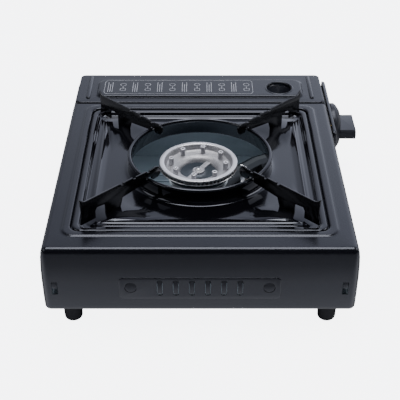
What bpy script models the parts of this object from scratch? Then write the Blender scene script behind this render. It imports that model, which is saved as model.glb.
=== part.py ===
"""Portable butane cassette stove, as separate parts.

Frame: metres, +Z up, z = 0 on the ground under the feet. +X runs from the burner end to the
cartridge bay, and -Y is the front with the knob. Every size below is in the stove's own axes,
whose origin is the body's centre; the empty called stove then shifts all of it along Y, so that
the origin is under the middle of the whole stove with its knob.
"""

import math

import bmesh
import bpy
from mathutils import Matrix, Vector

MM = 0.001
CLEARANCE = 0.3 * MM          # between pieces that touch
SHEET = 0.8 * MM              # pressed steel sheet

# Body shell
BODY_LENGTH = 344.0 * MM
BODY_DEPTH = 280.0 * MM
FOOT_HEIGHT = 18.0 * MM
BORDER_Z = 83.6 * MM          # top plate outside the raised field
CORNER_RADIUS = 7.0 * MM
FIELD_RISE = 1.0 * MM         # raised field around the pan
FIELD_MARGIN = 7.4 * MM
FIELD_RADIUS = 12.0 * MM

# Pan and its opening
OPENING_HALF = 116.0 * MM
OPENING_RADIUS = 10.0 * MM
PAN_X = -27.4 * MM
PAN_GAP = 1.7 * MM
LEDGE_DROP = 5.1 * MM         # pan ledge below the raised field
LEDGE_WIDTH = 7.0 * MM
PAN_FLOOR_DROP = 2.4 * MM     # pan floor below the raised field
PAN_GUTTER_DROP = 5.6 * MM    # gutter round the floor's edge, below the raised field
COLLAR_RADIUS = 70.2 * MM
COLLAR_Z = 97.5 * MM
COLLAR_BEAD = 2.2 * MM

# Pan supports
SUPPORT_SHEET = 1.8 * MM
SUPPORT_OUTER = 150.5 * MM    # tip, from the pan centre along the diagonal
SUPPORT_INNER = 54.0 * MM
SUPPORT_Z = 106.5 * MM        # pot height
SUPPORT_TIP_RISE = 4.5 * MM

# Burner
BURNER_X = PAN_X - 1.2 * MM
BURNER_Y = 1.5 * MM
BURNER_RADIUS = 38.2 * MM
BURNER_Z = 88.0 * MM
BURNER_HOLE = 17.8 * MM
CUP_RADIUS = 31.0 * MM
TUBE_RADIUS = 9.0 * MM
TUBE_WALL = 0.9 * MM
TUBE_Z = 42.0 * MM
NOZZLE_CIRCLE = 27.0 * MM
NOZZLE_RADIUS = 2.4 * MM
NOZZLE_COUNT = 8
NOZZLE_START = 35.4           # degrees from the stove's far side to the first nozzle
BRIDGE_TURN = -32.0           # degrees, the bar across the burner's hole
BRIDGE_DROP = 9.8 * MM        # bar's top below the burner's top
BRIDGE_THICK = 2.6 * MM

# Cartridge bay and lid
SEAM_X = 100.5 * MM
SEAM_GAP = 2.8 * MM
LID_Z = 84.2 * MM
LID_EMBOSS = 2.5 * MM
LID_SKIRT = 6.9 * MM
HINGE_X = 167.0 * MM
HINGE_Z = 79.0 * MM
HINGE_PIN = 2.0 * MM          # radius
FINGER_HOLE = 13.4 * MM
FINGER_HOLE_X = 133.0 * MM
FINGER_HOLE_Y = -88.5 * MM
CARTRIDGE_RADIUS = 33.0 * MM
CARTRIDGE_X = 136.5 * MM
CARTRIDGE_Z = 52.7 * MM
PARTITION_X = 97.0 * MM

# Front controls
PANEL_PROUD = 4.2 * MM
PANEL_X0 = 45.0 * MM
PANEL_X1 = 170.0 * MM
PANEL_Z0 = 23.0 * MM
PANEL_Z1 = 78.5 * MM
KNOB_X = 109.7 * MM
KNOB_Z = 50.0 * MM
KNOB_RADIUS = 26.5 * MM
KNOB_REACH = 172.0 * MM       # grip's outer face from the body's middle
SPINDLE_RADIUS = 3.0 * MM
CAM_RADIUS = 7.0 * MM
CAM_LIFT = 4.0 * MM
KNOB_TURN = math.radians(100.0)
LEVER_X = 156.0 * MM
LEVER_Z = 42.0 * MM
LEVER_TRAVEL = 16.0 * MM

# Feet
FOOT_RADIUS = 9.0 * MM
FOOT_INSET_X = 13.5 * MM
FOOT_INSET_Y = 24.4 * MM

# Worked out from the sizes above
HALF_X = BODY_LENGTH / 2
HALF_Y = BODY_DEPTH / 2
FIELD_Z = BORDER_Z + FIELD_RISE
LEDGE_Z = FIELD_Z - LEDGE_DROP
PAN_FLOOR_Z = FIELD_Z - PAN_FLOOR_DROP
PAN_GUTTER_Z = FIELD_Z - PAN_GUTTER_DROP
BASE_Z = FOOT_HEIGHT + CLEARANCE
BASE_TOP = BASE_Z + SHEET
LID_NEAR = SEAM_X + SEAM_GAP
LID_BOTTOM = LID_Z - LID_SKIRT
FRONT_SHIFT = (KNOB_REACH - HALF_Y) / 2
ARC_POINTS = 7

ROOT = None


# ---------------------------------------------------------------- helpers

def clear_scene():
    for item in list(bpy.data.objects):
        bpy.data.objects.remove(item, do_unlink=True)


def material(name, colour, roughness, metallic=0.0):
    made = bpy.data.materials.get(name)
    if made is None:
        made = bpy.data.materials.new(name)
        made.use_nodes = True
        shader = made.node_tree.nodes["Principled BSDF"]
        shader.inputs["Base Color"].default_value = (*colour, 1.0)
        shader.inputs["Roughness"].default_value = roughness
        shader.inputs["Metallic"].default_value = metallic
    return made


def painted():
    return material("charcoal_paint", (0.055, 0.058, 0.072), 0.42)


def black_enamel():
    return material("black_enamel", (0.006, 0.006, 0.008), 0.12)


def zinc():
    return material("zinc_plate", (0.34, 0.36, 0.40), 0.35, 0.9)


def cast_aluminium():
    return material("cast_aluminium", (0.62, 0.62, 0.63), 0.38, 0.9)


def brass():
    return material("brass", (0.72, 0.52, 0.22), 0.28, 1.0)


def steel():
    return material("bright_steel", (0.62, 0.62, 0.63), 0.3, 1.0)


def rubber():
    return material("black_rubber", (0.012, 0.012, 0.012), 0.7)


def dark_plastic():
    return material("dark_plastic", (0.02, 0.021, 0.026), 0.35)


def white_nylon():
    return material("white_nylon", (0.75, 0.74, 0.7), 0.4)


def ceramic():
    return material("ceramic", (0.82, 0.8, 0.76), 0.25)


def lead_red():
    return material("lead_red", (0.55, 0.09, 0.03), 0.45)


def finish_object(name, mesh, paint):
    mesh.shade_smooth()
    mesh.set_sharp_from_angle(angle=math.radians(32))
    mesh.materials.append(paint)
    made = bpy.data.objects.new(name, mesh)
    bpy.context.collection.objects.link(made)
    made.parent = ROOT
    return made


def from_bmesh(name, work, paint):
    bmesh.ops.recalc_face_normals(work, faces=work.faces)
    mesh = bpy.data.meshes.new(name)
    work.to_mesh(mesh)
    work.free()
    return finish_object(name, mesh, paint)


def loft(name, loops, paint, ring=False):
    """Skin a list of equal-length point loops: capped at both ends, or closed on itself."""
    work = bmesh.new()
    rows = [[work.verts.new(point) for point in loop] for loop in loops]
    pairs = list(zip(rows, rows[1:]))
    if ring:
        pairs.append((rows[-1], rows[0]))
    count = len(rows[0])
    for low, high in pairs:
        for index in range(count):
            after = (index + 1) % count
            work.faces.new((low[index], low[after], high[after], high[index]))
    if not ring:
        work.faces.new(list(reversed(rows[0])))
        work.faces.new(rows[-1])
    return from_bmesh(name, work, paint)


def rounded_loop(x0, x1, y0, y1, radius, z):
    """Corner arcs of a rounded rectangle, counter-clockwise from the +X side."""
    corners = ((x1 - radius, y1 - radius), (x0 + radius, y1 - radius),
               (x0 + radius, y0 + radius), (x1 - radius, y0 + radius))
    points = []
    for quadrant, (x, y) in enumerate(corners):
        for step in range(ARC_POINTS):
            angle = math.pi / 2 * (quadrant + step / (ARC_POINTS - 1))
            points.append((x + radius * math.cos(angle), y + radius * math.sin(angle), z))
    return points


def round_loop(x, y, radius, z):
    """Circle with as many points as a rounded loop, starting at the same side."""
    count = 4 * ARC_POINTS
    turns = [2 * math.pi * (index + 0.5) / count for index in range(count)]
    return [(x + radius * math.cos(turn), y + radius * math.sin(turn), z) for turn in turns]


def body_loop(inset, z):
    radius = max(CORNER_RADIUS - inset, 1.5 * MM)
    return rounded_loop(-HALF_X + inset, HALF_X - inset, -HALF_Y + inset, HALF_Y - inset, radius, z)


def square_loop(half, radius, z):
    return rounded_loop(PAN_X - half, PAN_X + half, -half, half, radius, z)


def turned(name, profile, paint, place=(0, 0, 0), direction="Z", sides=32):
    """Turn a closed (radius, height) profile about its axis; radius 0 is on the axis."""
    work = bmesh.new()
    rows = []
    for radius, height in profile:
        if radius < 1e-9:
            rows.append([work.verts.new((0, 0, height))])
            continue
        turns = [2 * math.pi * index / sides for index in range(sides)]
        rows.append([work.verts.new((radius * math.cos(turn), radius * math.sin(turn), height))
                     for turn in turns])
    closed = len(rows[0]) > 1 and len(rows[-1]) > 1
    pairs = list(zip(rows, rows[1:]))
    if closed:
        pairs.append((rows[-1], rows[0]))
    for low, high in pairs:
        for index in range(sides):
            after = (index + 1) % sides
            corners = [low[index % len(low)], low[after % len(low)],
                       high[after % len(high)], high[index % len(high)]]
            unique = list(dict.fromkeys(corners))
            if len(unique) > 2:
                work.faces.new(unique)
    bmesh.ops.transform(work, matrix=Matrix.Translation(place) @ axis_turn(direction), verts=work.verts)
    return from_bmesh(name, work, paint)


def axis_turn(direction):
    turns = {"Z": Matrix.Identity(4),
             "-Z": Matrix.Rotation(math.pi, 4, "X"),
             "X": Matrix.Rotation(math.pi / 2, 4, "Y"),
             "-X": Matrix.Rotation(-math.pi / 2, 4, "Y"),
             "Y": Matrix.Rotation(-math.pi / 2, 4, "X"),
             "-Y": Matrix.Rotation(math.pi / 2, 4, "X")}
    return turns[direction]


def rod(name, radius, length, paint, place, direction="Z", sides=20):
    return turned(name, [(0, 0), (radius, 0), (radius, length), (0, length)],
                  paint, place, direction, sides)


def block(name, low, high, paint):
    work = bmesh.new()
    bmesh.ops.create_cube(work, size=1.0)
    size = Vector(high) - Vector(low)
    middle = (Vector(high) + Vector(low)) / 2
    matrix = Matrix.Translation(middle) @ Matrix.Diagonal((*size, 1.0))
    bmesh.ops.transform(work, matrix=matrix, verts=work.verts)
    return from_bmesh(name, work, paint)


def plate(name, outline, thickness, matrix, paint):
    """Extrude a flat outline by its thickness, evenly to both sides, then place it."""
    work = bmesh.new()
    face = work.faces.new([work.verts.new((x, y, -thickness / 2)) for x, y in outline])
    grown = bmesh.ops.extrude_face_region(work, geom=[face])
    raised = [item for item in grown["geom"] if isinstance(item, bmesh.types.BMVert)]
    bmesh.ops.translate(work, vec=(0, 0, thickness), verts=raised)
    bmesh.ops.transform(work, matrix=matrix, verts=work.verts)
    return from_bmesh(name, work, paint)


def smooth_path(points, per_span=5):
    """Points of a Catmull-Rom curve through the given ones."""
    ends = [points[0]] + list(points) + [points[-1]]
    ends = [Vector(point) for point in ends]
    made = []
    for index in range(1, len(ends) - 2):
        before, start, stop, after = ends[index - 1:index + 3]
        for step in range(per_span):
            t = step / per_span
            made.append(0.5 * (2 * start + (stop - before) * t
                               + (2 * before - 5 * start + 4 * stop - after) * t ** 2
                               + (3 * start - before - 3 * stop + after) * t ** 3))
    made.append(ends[-2])
    return made


def path_frames(points):
    """Two directions across the path at each point, turning as little as they can."""
    frames = []
    tangents = []
    for index in range(len(points)):
        ahead = points[min(index + 1, len(points) - 1)]
        behind = points[max(index - 1, 0)]
        tangents.append((ahead - behind).normalized())
    side = tangents[0].orthogonal().normalized()
    for tangent in tangents:
        side = (side - tangent * side.dot(tangent)).normalized()
        frames.append((side, tangent.cross(side)))
    return frames


def tube(name, points, radii, paint, wall=0.0, sides=12):
    """A round bar along a path, or a pipe open at both ends when it has a wall."""
    frames = path_frames(points)
    turns = [2 * math.pi * index / sides for index in range(sides)]

    def rings(shrink):
        return [[point + (side * math.cos(turn) + up * math.sin(turn)) * (radius - shrink)
                 for turn in turns]
                for point, radius, (side, up) in zip(points, radii, frames)]

    outer = rings(0.0)
    if not wall:
        return loft(name, outer, paint)
    return loft(name, outer + list(reversed(rings(wall))), paint, ring=True)


def combine(target, others, operation):
    """Boolean the other objects into the target and bake the result."""
    for other in others:
        change = target.modifiers.new(operation.lower(), "BOOLEAN")
        change.object = other
        change.operation = operation
        change.solver = "EXACT"
    bpy.context.view_layer.update()
    graph = bpy.context.evaluated_depsgraph_get()
    baked = bpy.data.meshes.new_from_object(target.evaluated_get(graph))
    target.modifiers.clear()
    target.data = baked
    baked.shade_smooth()
    baked.set_sharp_from_angle(angle=math.radians(32))
    for other in others:
        bpy.data.objects.remove(other, do_unlink=True)
    return target


def cut(target, *others):
    return combine(target, others, "DIFFERENCE")


def weld(target, *others):
    return combine(target, others, "UNION")


def set_origin(item, pivot):
    """Move an object's origin to a point of the stove's axes, leaving its shape in place."""
    item.data.transform(Matrix.Translation(-Vector(pivot)))
    item.location = pivot


# ---------------------------------------------------------------- body

def make_body_shell():
    field = (PAN_X - OPENING_HALF - FIELD_MARGIN, PAN_X + OPENING_HALF + FIELD_MARGIN,
             -OPENING_HALF - FIELD_MARGIN, OPENING_HALF + FIELD_MARGIN)
    slope = 1.5 * MM
    wall = [(18.0, 2.0), (19.4, 0.9), (34.0, 0.4), (68.0, 0.0), (77.0, 0.6), (81.2, 1.4)]
    top_bend = [(82.9, 2.6), (83.6, 4.6)]
    scale = (BORDER_Z - FOOT_HEIGHT) / (83.6 * MM - 18.0 * MM)

    def level(height):
        return FOOT_HEIGHT + (height * MM - 18.0 * MM) * scale

    def field_loop(grow, z):
        return rounded_loop(field[0] - grow, field[1] + grow, field[2] - grow, field[3] + grow,
                            FIELD_RADIUS + grow, z)

    outer = [body_loop(inset * MM, level(z)) for z, inset in wall + top_bend]
    outer += [field_loop(0.0, BORDER_Z), field_loop(-slope, FIELD_Z),
              square_loop(OPENING_HALF + 0.8 * MM, OPENING_RADIUS, FIELD_Z),
              square_loop(OPENING_HALF, OPENING_RADIUS, FIELD_Z - 0.8 * MM),
              square_loop(OPENING_HALF, OPENING_RADIUS, LEDGE_Z),
              square_loop(OPENING_HALF - LEDGE_WIDTH, OPENING_RADIUS, LEDGE_Z),
              square_loop(OPENING_HALF - LEDGE_WIDTH, OPENING_RADIUS, LEDGE_Z - SHEET),
              square_loop(OPENING_HALF + SHEET, OPENING_RADIUS, LEDGE_Z - SHEET),
              square_loop(OPENING_HALF + SHEET, OPENING_RADIUS, FIELD_Z - SHEET),
              field_loop(-slope - 0.4 * MM, FIELD_Z - SHEET),
              field_loop(-0.4 * MM, BORDER_Z - SHEET)]
    inner = [body_loop(inset * MM + SHEET, min(level(z), BORDER_Z - SHEET - (4.6 - inset) * 0.2 * MM))
             for z, inset in reversed(wall + top_bend)]
    shell = loft("body_shell", outer + inner, painted(), ring=True)
    cut(shell, bay_cutter("bay_cut", SEAM_X, LID_BOTTOM - 0.7 * MM),
        bay_cutter("far_wall_cut", HINGE_X - 7.0 * MM, HINGE_Z - 4.0 * MM))
    cut(shell, *louvre_cutters(), *front_cutters())
    return shell


def bay_cutter(name, x, z):
    reach = 20.0 * MM
    return block(name, (x, -HALF_Y - reach, z), (HALF_X + reach, HALF_Y + reach, BORDER_Z + reach),
                 painted())


LOUVRE_COUNT = 6
LOUVRE_PITCH = 14.2 * MM
LOUVRE_WIDTH = 5.2 * MM
LOUVRE_Z = (36.0 * MM, 52.0 * MM)
TAB_SLOT_Y = 128.0 * MM
TAB_SLOT_WIDTH = 5.5 * MM


def louvre_cutters():
    made = []
    for index in range(LOUVRE_COUNT):
        y = (index - (LOUVRE_COUNT - 1) / 2) * LOUVRE_PITCH
        made.append(block("louvre_cut", (-HALF_X - 5 * MM, y - LOUVRE_WIDTH / 2, LOUVRE_Z[0]),
                          (-HALF_X + 5 * MM, y + LOUVRE_WIDTH / 2, LOUVRE_Z[1]), painted()))
    for side in (-1, 1):
        y = side * TAB_SLOT_Y
        made.append(block("tab_slot_cut", (-HALF_X - 5 * MM, y - TAB_SLOT_WIDTH / 2, LOUVRE_Z[0] + 1 * MM),
                          (-HALF_X + 5 * MM, y + TAB_SLOT_WIDTH / 2, LOUVRE_Z[0] + 6 * MM), painted()))
    return made


def front_cutters(deep=6 * MM):
    """Holes in the front wall and in the panel for the spindle and for the lever's stem."""
    spindle = rod("spindle_cut", SPINDLE_RADIUS + 1.5 * MM, 4 * deep, painted(),
                  (KNOB_X, -HALF_Y + 2 * deep, KNOB_Z), "-Y")
    low, high = lever_slot()
    slot = block("lever_cut", (low[0], -HALF_Y - 2 * deep, low[1]), (high[0], -HALF_Y + deep, high[1]),
                 painted())
    return [spindle, slot]


LEVER_STEM = 2.0 * MM         # half width of the stem


def lever_slot():
    """Corners (x, z) of the slot that the stem moves in."""
    room = LEVER_STEM + 0.8 * MM
    return (LEVER_X - room, LEVER_Z - room), (LEVER_X + room, LEVER_Z + LEVER_TRAVEL + room)


BASE_FLANGE = 7.0 * MM
BASE_HALF_X = HALF_X - 3.8 * MM
BASE_HALF_Y = HALF_Y - 3.8 * MM


def base_loop(inset, z):
    return rounded_loop(-BASE_HALF_X + inset, BASE_HALF_X - inset, -BASE_HALF_Y + inset,
                        BASE_HALF_Y - inset, 6.0 * MM - inset, z)


def make_base_plate():
    loops = [base_loop(1.6 * MM, BASE_Z), base_loop(0.0, BASE_Z + 1.6 * MM),
             base_loop(0.0, BASE_Z + BASE_FLANGE), base_loop(SHEET, BASE_Z + BASE_FLANGE),
             base_loop(SHEET, BASE_Z + 2.0 * MM), base_loop(2.0 * MM, BASE_TOP)]
    base = loft("base_plate", loops, zinc())
    vents = []
    for side in (-1, 1):
        for index in range(6):
            x = PAN_X + (index - 2.5) * 16 * MM
            y = side * 78 * MM
            vents.append(block("vent_cut", (x - 3 * MM, y - 16 * MM, BASE_Z - 2 * MM),
                               (x + 3 * MM, y + 16 * MM, BASE_TOP + 2 * MM), zinc()))
    return cut(base, *vents)


def make_feet():
    spots = {"near_front": (-1, -1), "near_rear": (-1, 1), "far_front": (1, -1), "far_rear": (1, 1)}
    top = FOOT_HEIGHT
    profile = [(0, 0), (FOOT_RADIUS - 2.2 * MM, 0), (FOOT_RADIUS - 1.1 * MM, 0.9 * MM),
               (FOOT_RADIUS - 0.7 * MM, 2.6 * MM), (FOOT_RADIUS, top), (0, top)]
    for spot, (along, across) in spots.items():
        place = (along * (HALF_X - FOOT_INSET_X), across * (HALF_Y - FOOT_INSET_Y), 0)
        turned("foot_" + spot, profile, rubber(), place, sides=24)


def make_base_screws():
    head = [(0, 0), (2.4 * MM, 0), (3.2 * MM, 0.9 * MM), (3.2 * MM, 1.6 * MM), (0, 1.6 * MM)]
    spots = {"near_front": (-1, -1), "near_rear": (-1, 1), "far_front": (1, -1), "far_rear": (1, 1)}
    for spot, (along, across) in spots.items():
        place = (along * (HALF_X - 40 * MM), across * (HALF_Y - 12 * MM),
                 BASE_Z - CLEARANCE - 1.6 * MM)
        turned("base_screw_" + spot, head, steel(), place, sides=16)


def make_partition():
    top = LID_BOTTOM - 1.8 * MM
    half = BASE_HALF_Y - SHEET - 1.6 * MM
    wall = block("bay_partition", (PARTITION_X, -half, BASE_TOP + CLEARANCE),
                 (PARTITION_X + SHEET, half, top), zinc())
    flange = block("partition_flange", (PARTITION_X, -half, top - SHEET), (LID_NEAR + 1.5 * MM, half, top),
                   zinc())
    weld(wall, flange)
    jet_hole = rod("jet_cut", JET_HEX + 1.2 * MM, 20 * MM, zinc(), (PARTITION_X - 8 * MM, JET_Y, TUBE_Z), "X")
    lead_hole = rod("lead_cut", 3.5 * MM, 20 * MM, zinc(), (PARTITION_X - 8 * MM, LEAD_HOLE[0], LEAD_HOLE[1]),
                    "X", 16)
    return cut(wall, jet_hole, lead_hole)


# ---------------------------------------------------------------- pan and supports

def make_drip_pan():
    half = OPENING_HALF - PAN_GAP
    rim = FIELD_Z - 0.9 * MM
    floor = PAN_FLOOR_Z
    gutter = PAN_GUTTER_Z
    wall_outer = COLLAR_RADIUS - 0.8 * MM
    wall_inner = wall_outer - SHEET
    bead = COLLAR_Z - COLLAR_BEAD

    def square(size, z):
        return square_loop(size, OPENING_RADIUS - 1.0 * MM, z)

    def circle(radius, z):
        return round_loop(PAN_X, 0, radius, z)

    slope_top = half - 5.8 * MM
    slope_foot = half - 9.0 * MM
    top_side = [square(half, LEDGE_Z + CLEARANCE), square(half, rim - 1.1 * MM),
                square(half - 1.1 * MM, rim), square(slope_top + 2.0 * MM, rim),
                square(slope_top, rim - 0.7 * MM), square(slope_foot, gutter + 0.6 * MM),
                square(slope_foot - 1.6 * MM, gutter), square(slope_foot - 4.0 * MM, gutter),
                square(slope_foot - 10.0 * MM, floor),
                circle(COLLAR_RADIUS + 3.2 * MM, floor), circle(wall_outer, floor + 2.8 * MM),
                circle(wall_outer, bead), circle(COLLAR_RADIUS, bead + 1.0 * MM),
                circle(COLLAR_RADIUS - 1.0 * MM, COLLAR_Z - 0.3 * MM),
                circle(COLLAR_RADIUS - 2.2 * MM, COLLAR_Z),
                circle(COLLAR_RADIUS - 3.6 * MM, COLLAR_Z - 0.5 * MM),
                circle(COLLAR_RADIUS - 4.3 * MM, bead + 0.4 * MM),
                circle(COLLAR_RADIUS - 3.4 * MM, bead - 0.8 * MM)]
    under_side = [circle(wall_inner, bead - 1.0 * MM), circle(wall_inner, floor + 2.0 * MM),
                  circle(COLLAR_RADIUS + 2.4 * MM, floor - SHEET),
                  square(slope_foot - 9.8 * MM, floor - SHEET),
                  square(slope_foot - 3.8 * MM, gutter - SHEET),
                  square(slope_foot - 2.0 * MM, gutter - SHEET),
                  square(slope_foot - 0.8 * MM, gutter - 0.1 * MM),
                  square(slope_top - 0.9 * MM, rim - 1.6 * MM),
                  square(slope_top + 1.6 * MM, rim - SHEET),
                  square(half - 1.4 * MM, rim - SHEET),
                  square(half - SHEET, rim - 1.4 * MM), square(half - SHEET, LEDGE_Z + CLEARANCE)]
    return loft("drip_pan", top_side + under_side, black_enamel(), ring=True)


def arc(centre, radius, start, stop, steps):
    """Points of a circular arc, angles in degrees."""
    turns = [math.radians(start + (stop - start) * step / steps) for step in range(steps + 1)]
    return [(centre[0] + radius * math.cos(turn), centre[1] + radius * math.sin(turn)) for turn in turns]


def support_outline():
    """Side view of a support: x outward from the pan's middle, y up."""
    floor = PAN_FLOOR_Z + CLEARANCE
    on_rim = FIELD_Z - 0.6 * MM
    arch_top = PAN_FLOOR_Z + 12.4 * MM
    leg_inner = SUPPORT_OUTER - 17.0 * MM
    arch_inner = leg_inner - 12.0 * MM
    foot_inner = arch_inner - 17.5 * MM
    crossing = COLLAR_RADIUS + 1.2 * MM
    inside = COLLAR_RADIUS - 5.4 * MM
    over_rim = COLLAR_Z + 0.8 * MM
    inner_low = COLLAR_Z - 3.6 * MM
    notch = 2.0 * MM
    outline = [(SUPPORT_OUTER + 0.3 * MM, on_rim), (SUPPORT_OUTER - 1.4 * MM, on_rim + 8 * MM),
               (SUPPORT_OUTER - 1.2 * MM, SUPPORT_Z - 5 * MM),
               (SUPPORT_OUTER, SUPPORT_Z + SUPPORT_TIP_RISE), (SUPPORT_OUTER - 3 * MM, SUPPORT_Z + 1.6 * MM),
               (SUPPORT_OUTER - 6.5 * MM, SUPPORT_Z)]
    for place, height in ((99 * MM, 0.0), (83.5 * MM, 0.2 * MM), (66.5 * MM, 1.0 * MM)):
        top = SUPPORT_Z - height
        outline += [(place + 2 * notch, top), *arc((place + notch, top), notch, 0, -180, 4),
                    (place - 0.5 * notch, top - 0.6 * MM)]
    tip = SUPPORT_INNER + 5.0 * MM
    knob = 6.0 * MM
    outline += arc((tip, SUPPORT_Z - 0.5 * MM - knob), knob, 75, 250, 7)
    outline += [(inside - 2 * MM, inner_low), (inside, inner_low + 1.5 * MM), (inside, over_rim),
                (crossing, over_rim), (crossing, COLLAR_Z - 3.0 * MM),
                (foot_inner - 3 * MM, PAN_FLOOR_Z + 9.2 * MM), (foot_inner, floor), (arch_inner, floor),
                (arch_inner, arch_top - 2.5 * MM), (arch_inner + 1.5 * MM, arch_top - 0.8 * MM),
                (leg_inner - 2 * MM, arch_top), (leg_inner, arch_top - 3 * MM), (leg_inner, on_rim)]
    return outline


def make_supports():
    upright = Matrix.Rotation(math.pi / 2, 4, "X")
    first = None
    spots = ("far_rear", "near_rear", "near_front", "far_front")
    for index, spot in enumerate(spots):
        if first is None:
            first = plate("pan_support_" + spot, support_outline(), SUPPORT_SHEET, upright, black_enamel())
            made = first
        else:
            made = bpy.data.objects.new("pan_support_" + spot, first.data)
            bpy.context.collection.objects.link(made)
            made.parent = ROOT
        made.location = (PAN_X, 0, 0)
        made.rotation_euler = (0, 0, math.pi / 4 + index * math.pi / 2)


# ---------------------------------------------------------------- burner

CUP_TOP = BURNER_Z - 6.5 * MM
CUP_NECK_Z = CUP_TOP - 24.5 * MM
STAND_Z = CUP_TOP - 15.6 * MM


def make_burner():
    place = (BURNER_X, BURNER_Y, 0)
    top = BURNER_Z
    radius = BURNER_RADIUS
    profile = [(radius, top - 5.5 * MM), (radius, top - 1.0 * MM), (radius - 1.0 * MM, top),
               (radius - 4.7 * MM, top), (radius - 6.7 * MM, top - 2.6 * MM),
               (BURNER_HOLE + 4.7 * MM, top - 3.4 * MM), (BURNER_HOLE + 2.8 * MM, top - 1.4 * MM),
               (BURNER_HOLE + 1.4 * MM, top - 1.4 * MM), (BURNER_HOLE, top - 3.5 * MM),
               (BURNER_HOLE, top - 10.0 * MM), (CUP_RADIUS - 1.8 * MM, top - 10.0 * MM),
               (CUP_RADIUS - 1.8 * MM, CUP_TOP + CLEARANCE), (CUP_RADIUS + 1.5 * MM, CUP_TOP + CLEARANCE)]
    head = turned("burner_head", profile, cast_aluminium(), place, sides=36)
    nozzles = []
    for index in range(NOZZLE_COUNT):
        turn = math.radians(NOZZLE_START + 360 * index / NOZZLE_COUNT)
        spot = (BURNER_X + NOZZLE_CIRCLE * math.cos(turn), BURNER_Y + NOZZLE_CIRCLE * math.sin(turn),
                top - 6.0 * MM)
        nozzles.append(rod("nozzle", NOZZLE_RADIUS, 7.0 * MM, cast_aluminium(), spot, sides=8))
    reach = BURNER_HOLE + 4.5 * MM
    bar = block("bridge", (-reach, -3.4 * MM, top - BRIDGE_DROP - BRIDGE_THICK),
                (reach, 3.4 * MM, top - BRIDGE_DROP), cast_aluminium())
    bar.data.transform(Matrix.Translation(place) @ Matrix.Rotation(math.radians(BRIDGE_TURN), 4, "Z"))
    weld(head, bar, *nozzles)
    screw = [(0, 0), (3.4 * MM, 0), (3.2 * MM, 1.0 * MM), (1.8 * MM, 1.9 * MM), (0, 2.1 * MM)]
    turned("burner_screw", screw, steel(), (BURNER_X, BURNER_Y, top - BRIDGE_DROP + CLEARANCE), sides=16)


def make_burner_cup():
    top = CUP_TOP
    neck = TUBE_RADIUS + CLEARANCE
    wall = 1.4 * MM
    profile = [(CUP_RADIUS, top), (CUP_RADIUS, top - 7.5 * MM), (CUP_RADIUS - 3 * MM, top - 11.5 * MM),
               (neck + 4.7 * MM, top - 18 * MM), (neck + 2 * MM, top - 19.5 * MM),
               (neck + 2 * MM, CUP_NECK_Z), (neck, CUP_NECK_Z), (neck, top - 19 * MM),
               (neck + 3.2 * MM, top - 17 * MM), (CUP_RADIUS - 3 * MM - wall, top - 10.5 * MM),
               (CUP_RADIUS - wall, top - 7 * MM), (CUP_RADIUS - wall, top)]
    turned("burner_cup", profile, zinc(), (BURNER_X, BURNER_Y, 0), sides=24)


def make_burner_stand():
    inner = CUP_RADIUS - 8.9 * MM
    outer = inner + 7 * MM
    ring = turned("burner_stand", [(inner, 0), (outer, 0), (outer, 1.2 * MM), (inner, 1.2 * MM)],
                  zinc(), (BURNER_X, BURNER_Y, STAND_Z), sides=32)
    legs = []
    for degrees in (52, 142, 232):
        low = BASE_TOP + CLEARANCE
        leg = block("leg", (inner + 2.0 * MM, -5 * MM, low + 0.5 * MM),
                    (inner + 3.4 * MM, 5 * MM, STAND_Z + 0.6 * MM), zinc())
        foot = block("leg_foot", (inner + 1.5 * MM, -6 * MM, low),
                     (outer + 7 * MM, 6 * MM, low + 1.2 * MM), zinc())
        for piece in (leg, foot):
            piece.data.transform(Matrix.Translation((BURNER_X, BURNER_Y, 0))
                                 @ Matrix.Rotation(math.radians(degrees), 4, "Z"))
        legs += [leg, foot]
    weld(ring, *legs)


JET_Y = -112.0 * MM
JET_HEX = 5.5 * MM
JET_FACE_X = PARTITION_X + 4.2 * MM
TUBE_MOUTH_X = PARTITION_X - 12.0 * MM
LEAD_HOLE = (-127.0 * MM, 26.0 * MM)


TUBE_NECK_POINTS = 6          # points of the route that stay at the neck's radius
TUBE_BELLY = 12.5 * MM


def make_mixing_tube():
    mouth = TUBE_MOUTH_X
    route = [(BURNER_X, BURNER_Y, CUP_NECK_Z + 3 * MM), (BURNER_X, BURNER_Y, CUP_NECK_Z),
             (BURNER_X, BURNER_Y, CUP_NECK_Z - 3 * MM),
             (BURNER_X + 5 * MM, BURNER_Y - 4 * MM, TUBE_Z + 3 * MM),
             (BURNER_X + 18 * MM, BURNER_Y - 16 * MM, TUBE_Z),
             (BURNER_X + 62 * MM, (BURNER_Y + JET_Y) / 2 - 4 * MM, TUBE_Z),
             (mouth - 26 * MM, JET_Y + 4 * MM, TUBE_Z), (mouth - 8 * MM, JET_Y, TUBE_Z),
             (mouth, JET_Y, TUBE_Z)]
    points = smooth_path(route, 2)
    growth = [min(max(index - TUBE_NECK_POINTS, 0) / 4, 1.0) for index in range(len(points))]
    radii = [TUBE_RADIUS + (TUBE_BELLY - TUBE_RADIUS) * share for share in growth]
    tube("mixing_tube", points, radii, black_enamel(), TUBE_WALL, 14)


def make_gas_jet():
    nose = TUBE_MOUTH_X - 4 * MM
    profile = [(0, 0), (JET_HEX, 0), (JET_HEX, 7 * MM), (3.6 * MM, 7.6 * MM),
               (3.6 * MM, 14 * MM), (1.6 * MM, JET_FACE_X - nose), (0, JET_FACE_X - nose)]
    turned("gas_jet", profile, brass(), (JET_FACE_X, JET_Y, TUBE_Z), "-X", 6)


# ---------------------------------------------------------------- ignition

ELECTRODE_X = -36.8 * MM
ELECTRODE_Y = -46.5 * MM
ELECTRODE_Z = 66.0 * MM
PIEZO_RADIUS = 5.2 * MM
PIEZO_Y = -129.0 * MM
PIEZO_TOP = 34.0 * MM
PLUNGER_RADIUS = 2.4 * MM


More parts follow.
